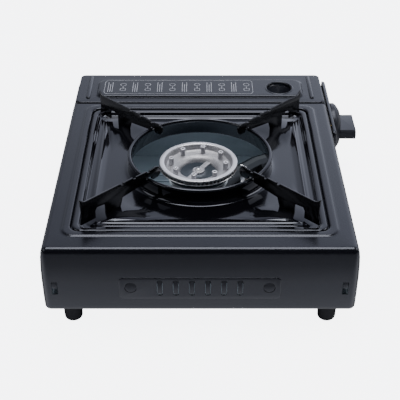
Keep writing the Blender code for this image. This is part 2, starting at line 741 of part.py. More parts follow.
def make_ignition():
    place = (ELECTRODE_X, ELECTRODE_Y, ELECTRODE_Z)
    body = [(0, 0), (2.6 * MM, 0), (2.6 * MM, 13 * MM), (1.8 * MM, 14 * MM), (0, 14 * MM)]
    turned("electrode_insulator", body, ceramic(), place, sides=12)
    start = Vector((ELECTRODE_X, ELECTRODE_Y, ELECTRODE_Z + 14 * MM + CLEARANCE))
    route = [start, start + Vector((0, 0.5, 4)) * MM, start + Vector((0.6, 4.0, 6.5)) * MM,
             start + Vector((1.0, 7.0, 7.0)) * MM]
    points = smooth_path(route, 3)
    tube("electrode", points, [0.8 * MM] * len(points), steel(), sides=8)
    hole_room = 2.6 * MM + CLEARANCE
    arm = block("electrode_bracket", (ELECTRODE_X - 5 * MM, ELECTRODE_Y - 5 * MM, ELECTRODE_Z + 5 * MM),
                (ELECTRODE_X + 5 * MM, ELECTRODE_Y + 6.5 * MM, ELECTRODE_Z + 6 * MM), zinc())
    leg = block("bracket_leg", (ELECTRODE_X - 5 * MM, ELECTRODE_Y + 5.5 * MM, BASE_TOP + CLEARANCE),
                (ELECTRODE_X + 5 * MM, ELECTRODE_Y + 6.5 * MM, ELECTRODE_Z + 6 * MM), zinc())
    weld(arm, leg)
    cut(arm, rod("bracket_hole", hole_room, 12 * MM, zinc(), place, sides=12))
    lead = [(ELECTRODE_X, ELECTRODE_Y, ELECTRODE_Z - CLEARANCE), (ELECTRODE_X, ELECTRODE_Y, 58 * MM),
            (-26 * MM, -56 * MM, 50 * MM), (-8 * MM, -66 * MM, 52 * MM), (20 * MM, -88 * MM, 34 * MM),
            (62 * MM, -125 * MM, 27 * MM), (88 * MM, LEAD_HOLE[0], LEAD_HOLE[1]),
            (98 * MM, LEAD_HOLE[0], LEAD_HOLE[1]),
            (KNOB_X - PIEZO_RADIUS - CLEARANCE, PIEZO_Y + 1 * MM, 26 * MM)]
    points = smooth_path(lead, 4)
    tube("ignition_lead", points, [1.3 * MM] * len(points), lead_red(), sides=6)


def make_piezo():
    bore = PLUNGER_RADIUS + CLEARANCE
    low = BASE_TOP + CLEARANCE
    profile = [(0, low), (PIEZO_RADIUS, low), (PIEZO_RADIUS, PIEZO_TOP), (bore, PIEZO_TOP),
               (bore, PIEZO_TOP - 9 * MM), (0, PIEZO_TOP - 9 * MM)]
    turned("piezo_igniter", profile, dark_plastic(), (KNOB_X, PIEZO_Y, 0), sides=20)
    tip = KNOB_Z - CAM_RADIUS - CLEARANCE
    plunger = [(0, PIEZO_TOP - 4.5 * MM), (PLUNGER_RADIUS, PIEZO_TOP - 4.5 * MM),
               (PLUNGER_RADIUS, tip - 2.0 * MM), (4.6 * MM, tip - 2.0 * MM), (4.6 * MM, tip - 0.6 * MM),
               (0, tip)]
    turned("striker_plunger", plunger, steel(), (KNOB_X, PIEZO_Y, 0), sides=16)
    wire = 0.45 * MM
    bottom = PIEZO_TOP + CLEARANCE + wire
    height = tip - 2.0 * MM - CLEARANCE - wire - bottom
    turns, steps = 3, 10
    points = []
    for index in range(turns * steps + 1):
        turn = 2 * math.pi * index / steps
        points.append(Vector((KNOB_X + 3.6 * MM * math.cos(turn), PIEZO_Y + 3.6 * MM * math.sin(turn),
                              bottom + height * index / (turns * steps))))
    tube("striker_spring", points, [wire] * len(points), steel(), sides=5)


# ---------------------------------------------------------------- gas supply

REGULATOR_Y = (-123.5 * MM, -103.0 * MM)
INLET_RADIUS = 17.0 * MM


def make_regulator():
    back, front = REGULATOR_Y[1], REGULATOR_Y[0]
    low_x = JET_FACE_X + CLEARANCE
    body = block("regulator_body", (low_x, front, 34 * MM), (CARTRIDGE_X + 16 * MM, back, 66 * MM),
                 cast_aluminium())
    drum = rod("regulator_drum", 18 * MM, back - front, cast_aluminium(),
               (CARTRIDGE_X, front, CARTRIDGE_Z), "Y", 28)
    weld(body, drum)
    bore = rod("spindle_bore", SPINDLE_RADIUS + CLEARANCE, 12 * MM, cast_aluminium(),
               (KNOB_X, front + 8 * MM, KNOB_Z), "-Y", 16)
    cut(body, bore)
    cap = [(0, 0), (14 * MM, 0), (14 * MM, 3 * MM), (12.5 * MM, 4 * MM), (0, 4 * MM)]
    turned("regulator_cap", cap, zinc(), (CARTRIDGE_X, front - CLEARANCE, CARTRIDGE_Z), "-Y", 24)
    collar = [(INLET_RADIUS - 6 * MM, 0), (INLET_RADIUS, 0), (INLET_RADIUS, 8 * MM),
              (INLET_RADIUS - 2 * MM, 9 * MM), (INLET_RADIUS - 6 * MM, 9 * MM)]
    ring = turned("inlet_collar", collar, white_nylon(), (CARTRIDGE_X, back + CLEARANCE, CARTRIDGE_Z), "Y", 28)
    key = block("collar_key", (CARTRIDGE_X - 3 * MM, back + CLEARANCE, CARTRIDGE_Z + INLET_RADIUS - 3 * MM),
                (CARTRIDGE_X + 3 * MM, back + 6 * MM, CARTRIDGE_Z + INLET_RADIUS + 4 * MM), white_nylon())
    weld(ring, key)
    valve = [(0, 0), (6 * MM, 0), (6 * MM, 4 * MM), (2.6 * MM, 5 * MM), (2.6 * MM, 10 * MM), (0, 10.5 * MM)]
    turned("inlet_valve", valve, brass(), (CARTRIDGE_X, back + CLEARANCE, CARTRIDGE_Z), "Y", 20)
    seal = [(6.4 * MM, 0), (9.8 * MM, 0), (9.8 * MM, 3 * MM), (6.4 * MM, 3 * MM)]
    turned("inlet_seal", seal, rubber(), (CARTRIDGE_X, back + CLEARANCE, CARTRIDGE_Z), "Y", 20)


def make_cartridge_rest():
    rest = block("cartridge_rest", (CARTRIDGE_X - 24 * MM, 52 * MM, BASE_TOP + CLEARANCE),
                 (CARTRIDGE_X + 24 * MM, 66 * MM, BASE_TOP + 8 * MM), zinc())
    hollow = rod("rest_cut", CARTRIDGE_RADIUS + 0.3 * MM, 40 * MM, zinc(),
                 (CARTRIDGE_X, 40 * MM, CARTRIDGE_Z + 0.9 * MM), "Y", 48)
    cut(rest, hollow)


# ---------------------------------------------------------------- lid

def lid_loop(near, far, side, z, radius=5.0 * MM):
    return rounded_loop(near, far, -side, side, radius, z)


LID_SIDE = HALF_Y - 3.0 * MM
BRACKET_Y = LID_SIDE - 7.0 * MM
EAR_Y = BRACKET_Y - 2.3 * MM


def make_lid():
    side = LID_SIDE
    far = HALF_X
    near = LID_NEAR
    top = LID_Z
    low = LID_BOTTOM
    rise = top + LID_EMBOSS
    emboss = (near + 9.8 * MM, far - 15.6 * MM, side - 22.0 * MM)

    def emboss_loop(shrink, z):
        return lid_loop(emboss[0] + shrink, emboss[1] - shrink, emboss[2] - shrink, z, 9.0 * MM)

    outside = [emboss_loop(2.4 * MM, rise), emboss_loop(0.0, top),
               lid_loop(near + 2.6 * MM, HINGE_X, side - 2.6 * MM, top),
               lid_loop(near + 0.8 * MM, far - 1.8 * MM, side - 0.9 * MM, top - 1.1 * MM),
               lid_loop(near, far - 0.3 * MM, side, top - 3.2 * MM),
               lid_loop(near, far, side, HINGE_Z), lid_loop(near, far - 0.3 * MM, side, low)]
    inside = [lid_loop(near + SHEET, far - 0.3 * MM - SHEET, side - SHEET, low),
              lid_loop(near + SHEET, far - SHEET, side - SHEET, HINGE_Z),
              lid_loop(near + SHEET, far - 0.4 * MM - SHEET, side - SHEET, top - 3.4 * MM),
              lid_loop(near + 1.6 * MM, far - 2.4 * MM, side - 1.7 * MM, top - 1.7 * MM),
              lid_loop(near + 3.0 * MM, HINGE_X, side - 3.0 * MM, top - SHEET),
              emboss_loop(0.6 * MM, top - SHEET), emboss_loop(3.0 * MM, rise - SHEET)]
    lid = loft("cartridge_lid", outside + inside, painted())
    ears = []
    for across in (-1, 1):
        ear_y = across * EAR_Y
        ears.append(rod("ear", 4.9 * MM, 1.6 * MM, painted(), (HINGE_X, ear_y - 0.8 * MM, HINGE_Z), "Y", 24))
    weld(lid, *ears)
    holes = [rod("finger_cut", FINGER_HOLE, 20 * MM, painted(),
                 (FINGER_HOLE_X, FINGER_HOLE_Y, top - 8 * MM), "Z", 32)]
    for across in (-1, 1):
        ear_y = across * EAR_Y
        holes.append(rod("pin_cut", HINGE_PIN + 0.4 * MM, 6 * MM, painted(),
                         (HINGE_X, ear_y - 3 * MM, HINGE_Z), "Y", 16))
    cut(lid, *holes)
    set_origin(lid, (HINGE_X, 0, HINGE_Z))


def make_hinges():
    for spot, across in (("front", -1), ("rear", 1)):
        mid_y = across * BRACKET_Y
        outline = [(HINGE_X - 17 * MM, HINGE_Z - 15 * MM), (HINGE_X - 9 * MM, HINGE_Z - 15 * MM),
                   (HINGE_X - 9 * MM, HINGE_Z - 7 * MM), (HINGE_X - 6 * MM, HINGE_Z - 3.6 * MM)]
        outline += arc((HINGE_X, HINGE_Z), 3.6 * MM, -90, 90, 8)
        outline += [(HINGE_X - 17 * MM, HINGE_Z + 3.6 * MM)]
        upright = Matrix.Translation((0, mid_y, 0)) @ Matrix.Rotation(math.pi / 2, 4, "X")
        bracket = plate("hinge_bracket_" + spot, outline, 1.2 * MM, upright, zinc())
        wall_y = across * (HALF_Y - SHEET - 0.7 * MM)
        foot = block("hinge_foot", (HINGE_X - 17 * MM, min(mid_y, wall_y), HINGE_Z - 15 * MM),
                     (HINGE_X - 9 * MM, max(mid_y, wall_y), HINGE_Z - 9 * MM), zinc())
        weld(bracket, foot)
        cut(bracket, rod("pin_cut", HINGE_PIN + CLEARANCE, 8 * MM, zinc(),
                         (HINGE_X, mid_y - 4 * MM, HINGE_Z), "Y", 16))
        inward = "Y" if across < 0 else "-Y"
        profile = [(0, 0), (3.2 * MM, 0), (3.2 * MM, 1.0 * MM), (HINGE_PIN, 1.0 * MM),
                   (HINGE_PIN, 6.0 * MM), (0, 6.0 * MM)]
        head_y = mid_y + across * (0.6 * MM + CLEARANCE + 1.0 * MM)
        turned("hinge_pin_" + spot, profile, steel(), (HINGE_X, head_y, HINGE_Z), inward, 16)


# ---------------------------------------------------------------- front controls

def make_control_panel():
    face = -HALF_Y - PANEL_PROUD
    back = -HALF_Y - CLEARANCE
    wall = 1.4 * MM

    def ring(inset, y, radius):
        flat = rounded_loop(PANEL_X0 + inset, PANEL_X1 - inset, PANEL_Z0 + inset, PANEL_Z1 - inset, radius, 0)
        return [(x, y, z) for x, z, _ in flat]

    loops = [ring(2.2 * MM, face, 4 * MM), ring(0.7 * MM, face + 0.7 * MM, 5 * MM),
             ring(0.0, face + 2.2 * MM, 5 * MM), ring(0.0, back, 5 * MM), ring(wall, back, 4 * MM),
             ring(wall, face + 2.2 * MM, 4 * MM), ring(2.8 * MM, face + wall, 3 * MM)]
    panel = loft("control_panel", loops, painted())
    cut(panel, *front_cutters())


def grip_outline():
    """Grip bar seen from the front: x along the bar, y across it."""
    half, thick = 21.0 * MM, 6.5 * MM
    return arc((half - thick, 0), thick, -60, 60, 4) + arc((-half + thick, 0), thick, 120, 240, 4)


def make_knob():
    face = -HALF_Y - PANEL_PROUD
    start = (KNOB_X, face - 0.5 * MM, KNOB_Z)
    dome = [(0, 0), (KNOB_RADIUS, 0), (KNOB_RADIUS, 4.0 * MM), (KNOB_RADIUS - 2.0 * MM, 6.5 * MM),
            (KNOB_RADIUS * 0.72, 10.0 * MM), (KNOB_RADIUS * 0.4, 11.5 * MM), (0, 12.0 * MM)]
    knob = turned("control_knob", dome, dark_plastic(), start, "-Y", 40)
    deep = KNOB_REACH + face - 4 * MM
    middle = -KNOB_REACH + deep / 2
    upright = Matrix.Translation((KNOB_X, middle, KNOB_Z)) @ Matrix.Rotation(math.pi / 2, 4, "X")
    grip = plate("grip", grip_outline(), deep, upright, dark_plastic())
    weld(knob, grip)
    socket = rod("socket_cut", SPINDLE_RADIUS + CLEARANCE, 6 * MM, dark_plastic(),
                 (KNOB_X, face + 0.5 * MM, KNOB_Z), "-Y", 16)
    cut(knob, socket)
    set_origin(knob, (KNOB_X, start[1], KNOB_Z))
    spindle_front = face - 0.5 * MM - 4.0 * MM
    spindle_back = REGULATOR_Y[0] + 7 * MM
    spindle = rod("valve_spindle", SPINDLE_RADIUS, spindle_back - spindle_front, brass(),
                  (KNOB_X, spindle_back, KNOB_Z), "-Y", 16)
    set_origin(spindle, (KNOB_X, start[1], KNOB_Z))
    make_cam(start[1])


def make_cam(pivot_y):
    """Snail cam: its radius grows evenly with the turn, so the striker sinks evenly."""
    steps = 10
    outline = []
    for index in range(steps + 1):
        share = index / steps
        radius = CAM_RADIUS - 0.02 * MM + CAM_LIFT * share
        turn = -math.pi / 2 - KNOB_TURN * share
        outline.append((radius * math.cos(turn), radius * math.sin(turn)))
    last = -math.pi / 2 - KNOB_TURN
    peak = CAM_RADIUS + CAM_LIFT
    outline.append((peak * math.cos(last - 0.25), peak * math.sin(last - 0.25)))
    low = CAM_RADIUS - 1.5 * MM
    for step in range(10):
        turn = last - 0.7 - (math.pi * 2 - KNOB_TURN - 1.2) * step / 9
        outline.append((low * math.cos(turn), low * math.sin(turn)))
    place = Matrix.Translation((KNOB_X, PIEZO_Y, KNOB_Z)) @ Matrix.Rotation(math.pi / 2, 4, "X")
    cam = plate("striker_cam", outline, 3.0 * MM, place, dark_plastic())
    cut(cam, rod("cam_bore", SPINDLE_RADIUS + CLEARANCE, 8 * MM, dark_plastic(),
                 (KNOB_X, PIEZO_Y - 4 * MM, KNOB_Z), "Y", 16))
    set_origin(cam, (KNOB_X, pivot_y, KNOB_Z))


def make_lever():
    face = -HALF_Y - PANEL_PROUD
    inner = -HALF_Y + 6 * MM
    pad = block("lock_lever", (LEVER_X - 7 * MM, face - 4.5 * MM, LEVER_Z - 3 * MM),
                (LEVER_X + 7 * MM, face - 0.6 * MM, LEVER_Z + 3 * MM), dark_plastic())
    stem = block("stem", (LEVER_X - LEVER_STEM, face - 2 * MM, LEVER_Z - LEVER_STEM),
                 (LEVER_X + LEVER_STEM, inner, LEVER_Z + LEVER_STEM), dark_plastic())
    head = block("stem_head", (LEVER_X - 4 * MM, inner - 2 * MM, LEVER_Z - 4 * MM),
                 (LEVER_X + 4 * MM, inner, LEVER_Z + 4 * MM), dark_plastic())
    weld(pad, stem, head)


PUSHER_Y = 108.0 * MM
PUSH_ROD_X = 162.5 * MM
PUSH_ROD_Z = 25.0 * MM


def make_pusher():
    low = BASE_TOP + 0.6 * MM
    wall = block("push_plate", (CARTRIDGE_X - 22 * MM, PUSHER_Y, low), (CARTRIDGE_X + 22 * MM,
                 PUSHER_Y + 1.5 * MM, CARTRIDGE_Z + 14 * MM), zinc())
    foot = block("push_foot", (CARTRIDGE_X - 22 * MM, PUSHER_Y, low),
                 (CARTRIDGE_X + 22 * MM, PUSHER_Y + 16 * MM, low + 1.2 * MM), zinc())
    lug = block("push_lug", (CARTRIDGE_X + 20 * MM, PUSHER_Y, low),
                (PUSH_ROD_X + 4 * MM, PUSHER_Y + 1.5 * MM, PUSH_ROD_Z + 4 * MM), zinc())
    weld(wall, foot, lug)
    length = PUSHER_Y - CLEARANCE - (-HALF_Y + 18 * MM)
    rod("push_rod", 2.0 * MM, length, steel(), (PUSH_ROD_X, PUSHER_Y - CLEARANCE, PUSH_ROD_Z), "-Y", 12)


# ---------------------------------------------------------------- assembly

def main():
    global ROOT
    clear_scene()
    ROOT = bpy.data.objects.new("stove", None)
    bpy.context.collection.objects.link(ROOT)
    make_body_shell()
    make_base_plate()
    make_feet()
    make_base_screws()
    make_partition()
    make_drip_pan()
    make_supports()
    make_burner()
    make_burner_cup()
    make_burner_stand()
    make_mixing_tube()
    make_gas_jet()
    make_ignition()
    make_piezo()
    make_regulator()
    make_cartridge_rest()
    make_lid()
    make_hinges()
    make_control_panel()
    make_knob()
    make_lever()
    make_pusher()
    ROOT.location = (0, FRONT_SHIFT, 0)


main()
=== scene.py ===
"""Looks of the portable cassette stove: pressed and painted shell, enamelled pan and supports,
cast burner, and every smaller part, around the fixed frame of its solid parts."""
import math

import bmesh
import bpy
from mathutils import Matrix, Vector


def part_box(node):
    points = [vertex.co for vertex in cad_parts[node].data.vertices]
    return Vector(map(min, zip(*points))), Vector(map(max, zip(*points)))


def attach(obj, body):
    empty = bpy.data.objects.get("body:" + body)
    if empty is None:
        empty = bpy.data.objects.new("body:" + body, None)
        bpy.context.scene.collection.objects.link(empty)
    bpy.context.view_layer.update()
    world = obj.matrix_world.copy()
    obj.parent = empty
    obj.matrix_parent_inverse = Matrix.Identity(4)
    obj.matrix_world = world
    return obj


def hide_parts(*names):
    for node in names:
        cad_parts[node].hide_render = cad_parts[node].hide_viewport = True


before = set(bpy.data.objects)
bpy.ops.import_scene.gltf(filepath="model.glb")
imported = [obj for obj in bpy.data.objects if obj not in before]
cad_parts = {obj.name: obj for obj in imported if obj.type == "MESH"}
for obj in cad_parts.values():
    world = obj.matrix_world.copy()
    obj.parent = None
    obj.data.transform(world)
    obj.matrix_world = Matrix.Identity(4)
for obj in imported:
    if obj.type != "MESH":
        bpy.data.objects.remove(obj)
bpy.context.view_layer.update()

MM = 0.001
SHEET = 0.8 * MM
LOOP_SPREAD = 0.2       # loops are bridged this far apart, then lowered to their own heights


def middle(node):
    low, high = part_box(node)
    return (low + high) / 2


SHELL_LOW, SHELL_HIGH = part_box("body_shell")
BODY = (SHELL_LOW + SHELL_HIGH) / 2
HALF_X = (SHELL_HIGH.x - SHELL_LOW.x) / 2
HALF_Y = (SHELL_HIGH.y - SHELL_LOW.y) / 2
FIELD_Z = SHELL_HIGH.z                    # raised field around the pan
BORDER_Z = FIELD_Z - 1.0 * MM
BOTTOM_Z = SHELL_LOW.z
PAN_LOW, PAN_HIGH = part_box("drip_pan")
PAN = (PAN_LOW + PAN_HIGH) / 2
PAN_HALF = (PAN_HIGH.x - PAN_LOW.x) / 2
COLLAR_Z = PAN_HIGH.z
COLLAR_RADIUS = 70.2 * MM
OPENING_HALF = PAN_HALF + 1.7 * MM
LID_LOW, LID_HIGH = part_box("cartridge_lid")
LID = (LID_LOW + LID_HIGH) / 2
LID_TOP = LID_HIGH.z - 2.5 * MM
LID_SIDE = (LID_HIGH.y - LID_LOW.y) / 2
HINGE_X, HINGE_Z = HALF_X - 5.0 * MM, LID_TOP - 5.2 * MM
BURNER = middle("burner_cup")
BURNER_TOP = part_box("burner_head")[1].z - 1.0 * MM

PANEL_HALF = 71.5 * MM                    # raised panel on the near end wall
PANEL_Z = (31.6 * MM, 54.8 * MM)
DISC_Y, DISC_Z = 61.2 * MM, 44.0 * MM
TAB_Y = 128.4 * MM
LOUVRE_COUNT, LOUVRE_PITCH = 6, 14.2 * MM
CUT_REACH = 30.0 * MM                     # how far a cutter stands past what it cuts
LID_EAR_Y = 127.7 * MM
FINGER_HOLE = (133.0 * MM, -88.5 * MM)    # x, and y from the lid's middle
PAD_REACH, PAD_RADIUS, PAD_RISE = 80.0 * MM, 16.0 * MM, 2.8 * MM
SLOT_COUNT = 60
NOZZLE_COUNT, NOZZLE_CIRCLE = 8, 27.0 * MM
NOZZLE_START, BRIDGE_TURN = 35.4, -32.0   # degrees
CAMERA_PLACE = (-0.8464, BODY.y, 0.5767)
CAMERA_DOWN, CAMERA_LENS = 33.17, 87.36   # degrees, mm


# ------------------------------------------------------------------ modelling

def object_mode():
    if bpy.context.mode != "OBJECT":
        bpy.ops.object.mode_set(mode="OBJECT")


def pick(piece):
    """Make one object the only selected and active one."""
    object_mode()
    bpy.ops.object.select_all(action="DESELECT")
    piece.select_set(True)
    bpy.context.view_layer.objects.active = piece


def added(name):
    """Name the primitive that was just added."""
    piece = bpy.context.active_object
    piece.name = name
    piece.data.name = name
    return piece


def nothing_selected():
    object_mode()
    bpy.ops.object.select_all(action="DESELECT")


def ring(shape, count):
    """Add one loop of edges: ("round", x, y, radius, z) or ("box", x0, x1, y0, y1, radius, z)."""
    if shape[0] == "round":
        _, x, y, radius, z = shape
        bpy.ops.mesh.primitive_circle_add(vertices=count, radius=radius, location=(x, y, z),
                                          rotation=(0, 0, math.pi / count))
        return
    _, x0, x1, y0, y1, radius, z = shape
    centre = ((x0 + x1) / 2, (y0 + y1) / 2, z)
    bpy.ops.mesh.primitive_plane_add(size=1.0, location=centre)
    if bpy.context.mode == "OBJECT":
        bpy.ops.object.mode_set(mode="EDIT")
    bpy.ops.transform.resize(value=(x1 - x0, y1 - y0, 1.0), center_override=centre)
    bpy.ops.mesh.bevel(offset=radius, segments=count // 4 - 1, affect="VERTICES")
    bpy.ops.mesh.delete(type="ONLY_FACE")


def skin(name, shapes, count=96, closed=False, caps=(False, False)):
    """Bridge a row of loops into a surface; it can close on itself or be capped at an end."""
    nothing_selected()
    bpy.ops.mesh.primitive_plane_add(size=1.0)
    piece = added(name)
    bpy.ops.object.mode_set(mode="EDIT")
    bpy.ops.mesh.delete(type="VERT")
    for index, shape in enumerate(shapes):
        ring((*shape[:-1], shape[-1] + index * LOOP_SPREAD), count)
        mark_loop(piece, index + 1)
    bpy.ops.mesh.select_mode(type="EDGE")
    pairs = [(index, index + 1) for index in range(len(shapes) - 1)]
    if closed:
        pairs.append((len(shapes) - 1, 0))
    for low, high in pairs:
        select_loops(piece, (low, high))
        bpy.ops.mesh.bridge_edge_loops()
    for wanted, index in zip(caps, (0, len(shapes) - 1)):
        if wanted:
            select_loops(piece, (index,))
            bpy.ops.mesh.edge_face_add()
    for index in range(1, len(shapes)):
        select_loops(piece, (index,))
        bpy.ops.transform.translate(value=(0, 0, -index * LOOP_SPREAD))
    bpy.ops.mesh.select_all(action="SELECT")
    bpy.ops.mesh.normals_make_consistent(inside=False)
    settle(piece)
    return piece


def settle(piece):
    """Back to object mode with the object at the origin and its place in its mesh."""
    object_mode()
    piece.data.transform(piece.matrix_world)
    piece.matrix_world = Matrix.Identity(4)


def mark_loop(piece, number):
    """Write a number on every point that has none yet."""
    work = bmesh.from_edit_mesh(piece.data)
    numbers = work.verts.layers.int.get("loop") or work.verts.layers.int.new("loop")
    for vert in work.verts:
        if not vert[numbers]:
            vert[numbers] = number
    bmesh.update_edit_mesh(piece.data)


def select_loops(piece, wanted):
    """Select only the edges that lie in the wanted loops."""
    work = bmesh.from_edit_mesh(piece.data)
    numbers = work.verts.layers.int["loop"]
    for part in (work.faces, work.edges, work.verts):
        for item in part:
            item.select = False
    for edge in work.edges:
        first, second = (vert[numbers] for vert in edge.verts)
        if first == second and first - 1 in wanted:
            edge.select = True
    work.select_flush_mode()
    bmesh.update_edit_mesh(piece.data)


def slab(name, low, high, rounding=0.0, segments=3):
    """A block between two corners with rounded edges."""
    nothing_selected()
    low, high = Vector(low), Vector(high)
    bpy.ops.mesh.primitive_cube_add(size=1.0, location=(low + high) / 2)
    piece = added(name)
    bpy.ops.object.mode_set(mode="EDIT")
    bpy.ops.transform.resize(value=tuple(high - low), center_override=tuple((low + high) / 2))
    if rounding:
        bpy.ops.mesh.bevel(offset=rounding, segments=segments, affect="EDGES")
    settle(piece)
    return piece


def bar(name, start, end, radius, sides=32, rounding=0.0):
    """A round bar from one point to another."""
    nothing_selected()
    start, end = Vector(start), Vector(end)
    turn = (end - start).to_track_quat("Z", "Y").to_euler()
    bpy.ops.mesh.primitive_cylinder_add(vertices=sides, radius=radius, depth=(end - start).length,
                                        location=(start + end) / 2, rotation=turn)
    piece = added(name)
    if rounding:
        bpy.ops.object.mode_set(mode="EDIT")
        bpy.ops.mesh.select_mode(type="FACE")
        work = bmesh.from_edit_mesh(piece.data)
        for face in work.faces:
            face.select = len(face.verts) > 4
        bmesh.update_edit_mesh(piece.data)
        bpy.ops.mesh.region_to_loop()
        bpy.ops.mesh.bevel(offset=rounding, segments=3, affect="EDGES")
    settle(piece)
    return piece


def apply_change(piece, kind, **settings):
    pick(piece)
    change = piece.modifiers.new(kind.lower(), kind)
    for key, value in settings.items():
        setattr(change, key, value)
    bpy.ops.object.modifier_apply(modifier=change.name)


def combine(piece, others, operation):
    for other in others:
        apply_change(piece, "BOOLEAN", object=other, operation=operation, solver="MANIFOLD")
        bpy.data.objects.remove(other, do_unlink=True)
    return piece


def cut(piece, *others):
    return combine(piece, others, "DIFFERENCE")


def unite(piece, *others):
    return combine(piece, others, "UNION")


def round_edges(piece, width, segments=2, angle=28.0):
    apply_change(piece, "BEVEL", width=width, segments=segments, limit_method="ANGLE",
                 angle_limit=math.radians(angle), harden_normals=False)
    return piece


def finish(piece, paint, body, *nodes, slot=None, smooth=35.0):
    pick(piece)
    bpy.ops.object.shade_smooth_by_angle(angle=math.radians(smooth))
    piece.data.materials.clear()
    piece.data.materials.append(paint)
    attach(piece, body)
    if nodes:
        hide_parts(*nodes)
    return piece


def softened(node, width, segments=2, angle=30.0):
    """A copy of a solid part with its edges broken."""
    nothing_selected()
    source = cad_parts[node]
    piece = bpy.data.objects.new(node + "_finished", source.data.copy())
    bpy.context.scene.collection.objects.link(piece)
    pick(piece)
    bpy.ops.mesh.customdata_custom_splitnormals_clear()
    bpy.ops.object.mode_set(mode="EDIT")
    bpy.ops.mesh.select_all(action="SELECT")
    bpy.ops.mesh.remove_doubles(threshold=0.00002)
    bpy.ops.mesh.dissolve_limited(angle_limit=math.radians(1.0))
    object_mode()
    piece.data.materials.clear()
    round_edges(piece, width, segments, angle)
    return piece


# ------------------------------------------------------------------ materials

def new_group(name, inputs, outputs):
    group = bpy.data.node_groups.new(name, "ShaderNodeTree")
    for label, kind, value in inputs:
        socket = group.interface.new_socket(label, in_out="INPUT", socket_type=kind)
        if value is not None:
            socket.default_value = value
    for label, kind in outputs:
        group.interface.new_socket(label, in_out="OUTPUT", socket_type=kind)
    return group, group.nodes.new("NodeGroupInput"), group.nodes.new("NodeGroupOutput")


def grain_group():
    """Fine grain over a broad mottle: one height for bump and one mask for colour and gloss."""
    group, source, result = new_group(
        "grain_and_mottle",
        [("Place", "NodeSocketVector", None), ("Grain Scale", "NodeSocketFloat", 900.0),
         ("Mottle Scale", "NodeSocketFloat", 14.0)],
        [("Height", "NodeSocketFloat"), ("Mottle", "NodeSocketFloat")])
    fine = group.nodes.new("ShaderNodeTexNoise")
    fine.inputs["Detail"].default_value = 2.0
    broad = group.nodes.new("ShaderNodeTexNoise")
    broad.inputs["Detail"].default_value = 5.0
    broad.inputs["Roughness"].default_value = 0.6
    links = group.links
    links.new(source.outputs["Place"], fine.inputs["Vector"])
    links.new(source.outputs["Grain Scale"], fine.inputs["Scale"])
    links.new(source.outputs["Place"], broad.inputs["Vector"])
    links.new(source.outputs["Mottle Scale"], broad.inputs["Scale"])
    links.new(fine.outputs["Fac"], result.inputs["Height"])
    links.new(broad.outputs["Fac"], result.inputs["Mottle"])
    return group


GRAIN = grain_group()


def surface(name, dark, light, rough, metallic=0.0, grain=900.0, mottle=14.0, bump=0.02, specular=0.5):
    """A finish whose colour runs between two tones and whose gloss runs between two values."""
    made = bpy.data.materials.new(name)
    made.use_nodes = True
    nodes, links = made.node_tree.nodes, made.node_tree.links
    shader = nodes["Principled BSDF"]
    place = nodes.new("ShaderNodeTexCoord")
    detail = nodes.new("ShaderNodeGroup")
    detail.node_tree = GRAIN
    detail.inputs["Grain Scale"].default_value = grain
    detail.inputs["Mottle Scale"].default_value = mottle
    links.new(place.outputs["Object"], detail.inputs["Place"])
    tone = nodes.new("ShaderNodeMix")
    tone.data_type = "RGBA"
    tone.inputs["A"].default_value = (*dark, 1.0)
    tone.inputs["B"].default_value = (*light, 1.0)
    spread = nodes.new("ShaderNodeMapRange")
    spread.inputs["From Min"].default_value = 0.3
    spread.inputs["From Max"].default_value = 0.7
    links.new(detail.outputs["Mottle"], spread.inputs["Value"])
    links.new(spread.outputs["Result"], tone.inputs["Factor"])
    gloss = nodes.new("ShaderNodeMapRange")
    gloss.inputs["From Min"].default_value = 0.3
    gloss.inputs["From Max"].default_value = 0.7
    gloss.inputs["To Min"].default_value = rough[0]
    gloss.inputs["To Max"].default_value = rough[1]
    links.new(detail.outputs["Mottle"], gloss.inputs["Value"])
    links.new(gloss.outputs["Result"], shader.inputs["Roughness"])
    links.new(tone.outputs["Result"], shader.inputs["Base Color"])
    relief = nodes.new("ShaderNodeBump")
    relief.inputs["Strength"].default_value = bump
    relief.inputs["Distance"].default_value = 0.0004
    links.new(detail.outputs["Height"], relief.inputs["Height"])
    links.new(relief.outputs["Normal"], shader.inputs["Normal"])
    shader.inputs["Metallic"].default_value = metallic
    shader.inputs["Specular IOR Level"].default_value = specular
    if not metallic:
        shader.inputs["Specular Tint"].default_value = (0.82, 0.86, 1.0, 1.0)
    return made


PAINT = surface("charcoal_powder_coat", (0.0045, 0.0048, 0.0075), (0.0065, 0.0070, 0.0105), (0.20, 0.26),
                grain=1400.0, bump=0.08, specular=0.60)
ENAMEL = surface("black_vitreous_enamel", (0.0020, 0.0020, 0.0032), (0.0030, 0.0030, 0.0045), (0.06, 0.11),
                 grain=300.0, mottle=22.0, bump=0.012, specular=0.75)
ARM_ENAMEL = surface("support_enamel", (0.0020, 0.0020, 0.0026), (0.0040, 0.0038, 0.0040), (0.16, 0.24),
                     grain=500.0, mottle=40.0, bump=0.05)
CAST = surface("cast_aluminium", (0.36, 0.36, 0.385), (0.58, 0.58, 0.61), (0.38, 0.50), metallic=0.75,
               grain=1500.0, mottle=700.0, bump=0.55)
MACHINED = surface("machined_aluminium", (0.84, 0.84, 0.88), (0.92, 0.92, 0.96), (0.24, 0.32), metallic=0.75,
                   grain=900.0, mottle=60.0, bump=0.04)
CUP_STEEL = surface("blackened_steel", (0.012, 0.015, 0.019), (0.020, 0.025, 0.031), (0.26, 0.36),
                    grain=700.0, mottle=30.0, bump=0.05)
SLATE = surface("dark_plated_steel", (0.13, 0.16, 0.19), (0.18, 0.215, 0.25), (0.30, 0.42), metallic=0.2,
                grain=700.0, mottle=18.0, bump=0.06)
ZINC = surface("zinc_plate", (0.30, 0.31, 0.33), (0.44, 0.45, 0.47), (0.28, 0.42), metallic=0.9,
               grain=800.0, mottle=60.0, bump=0.06)
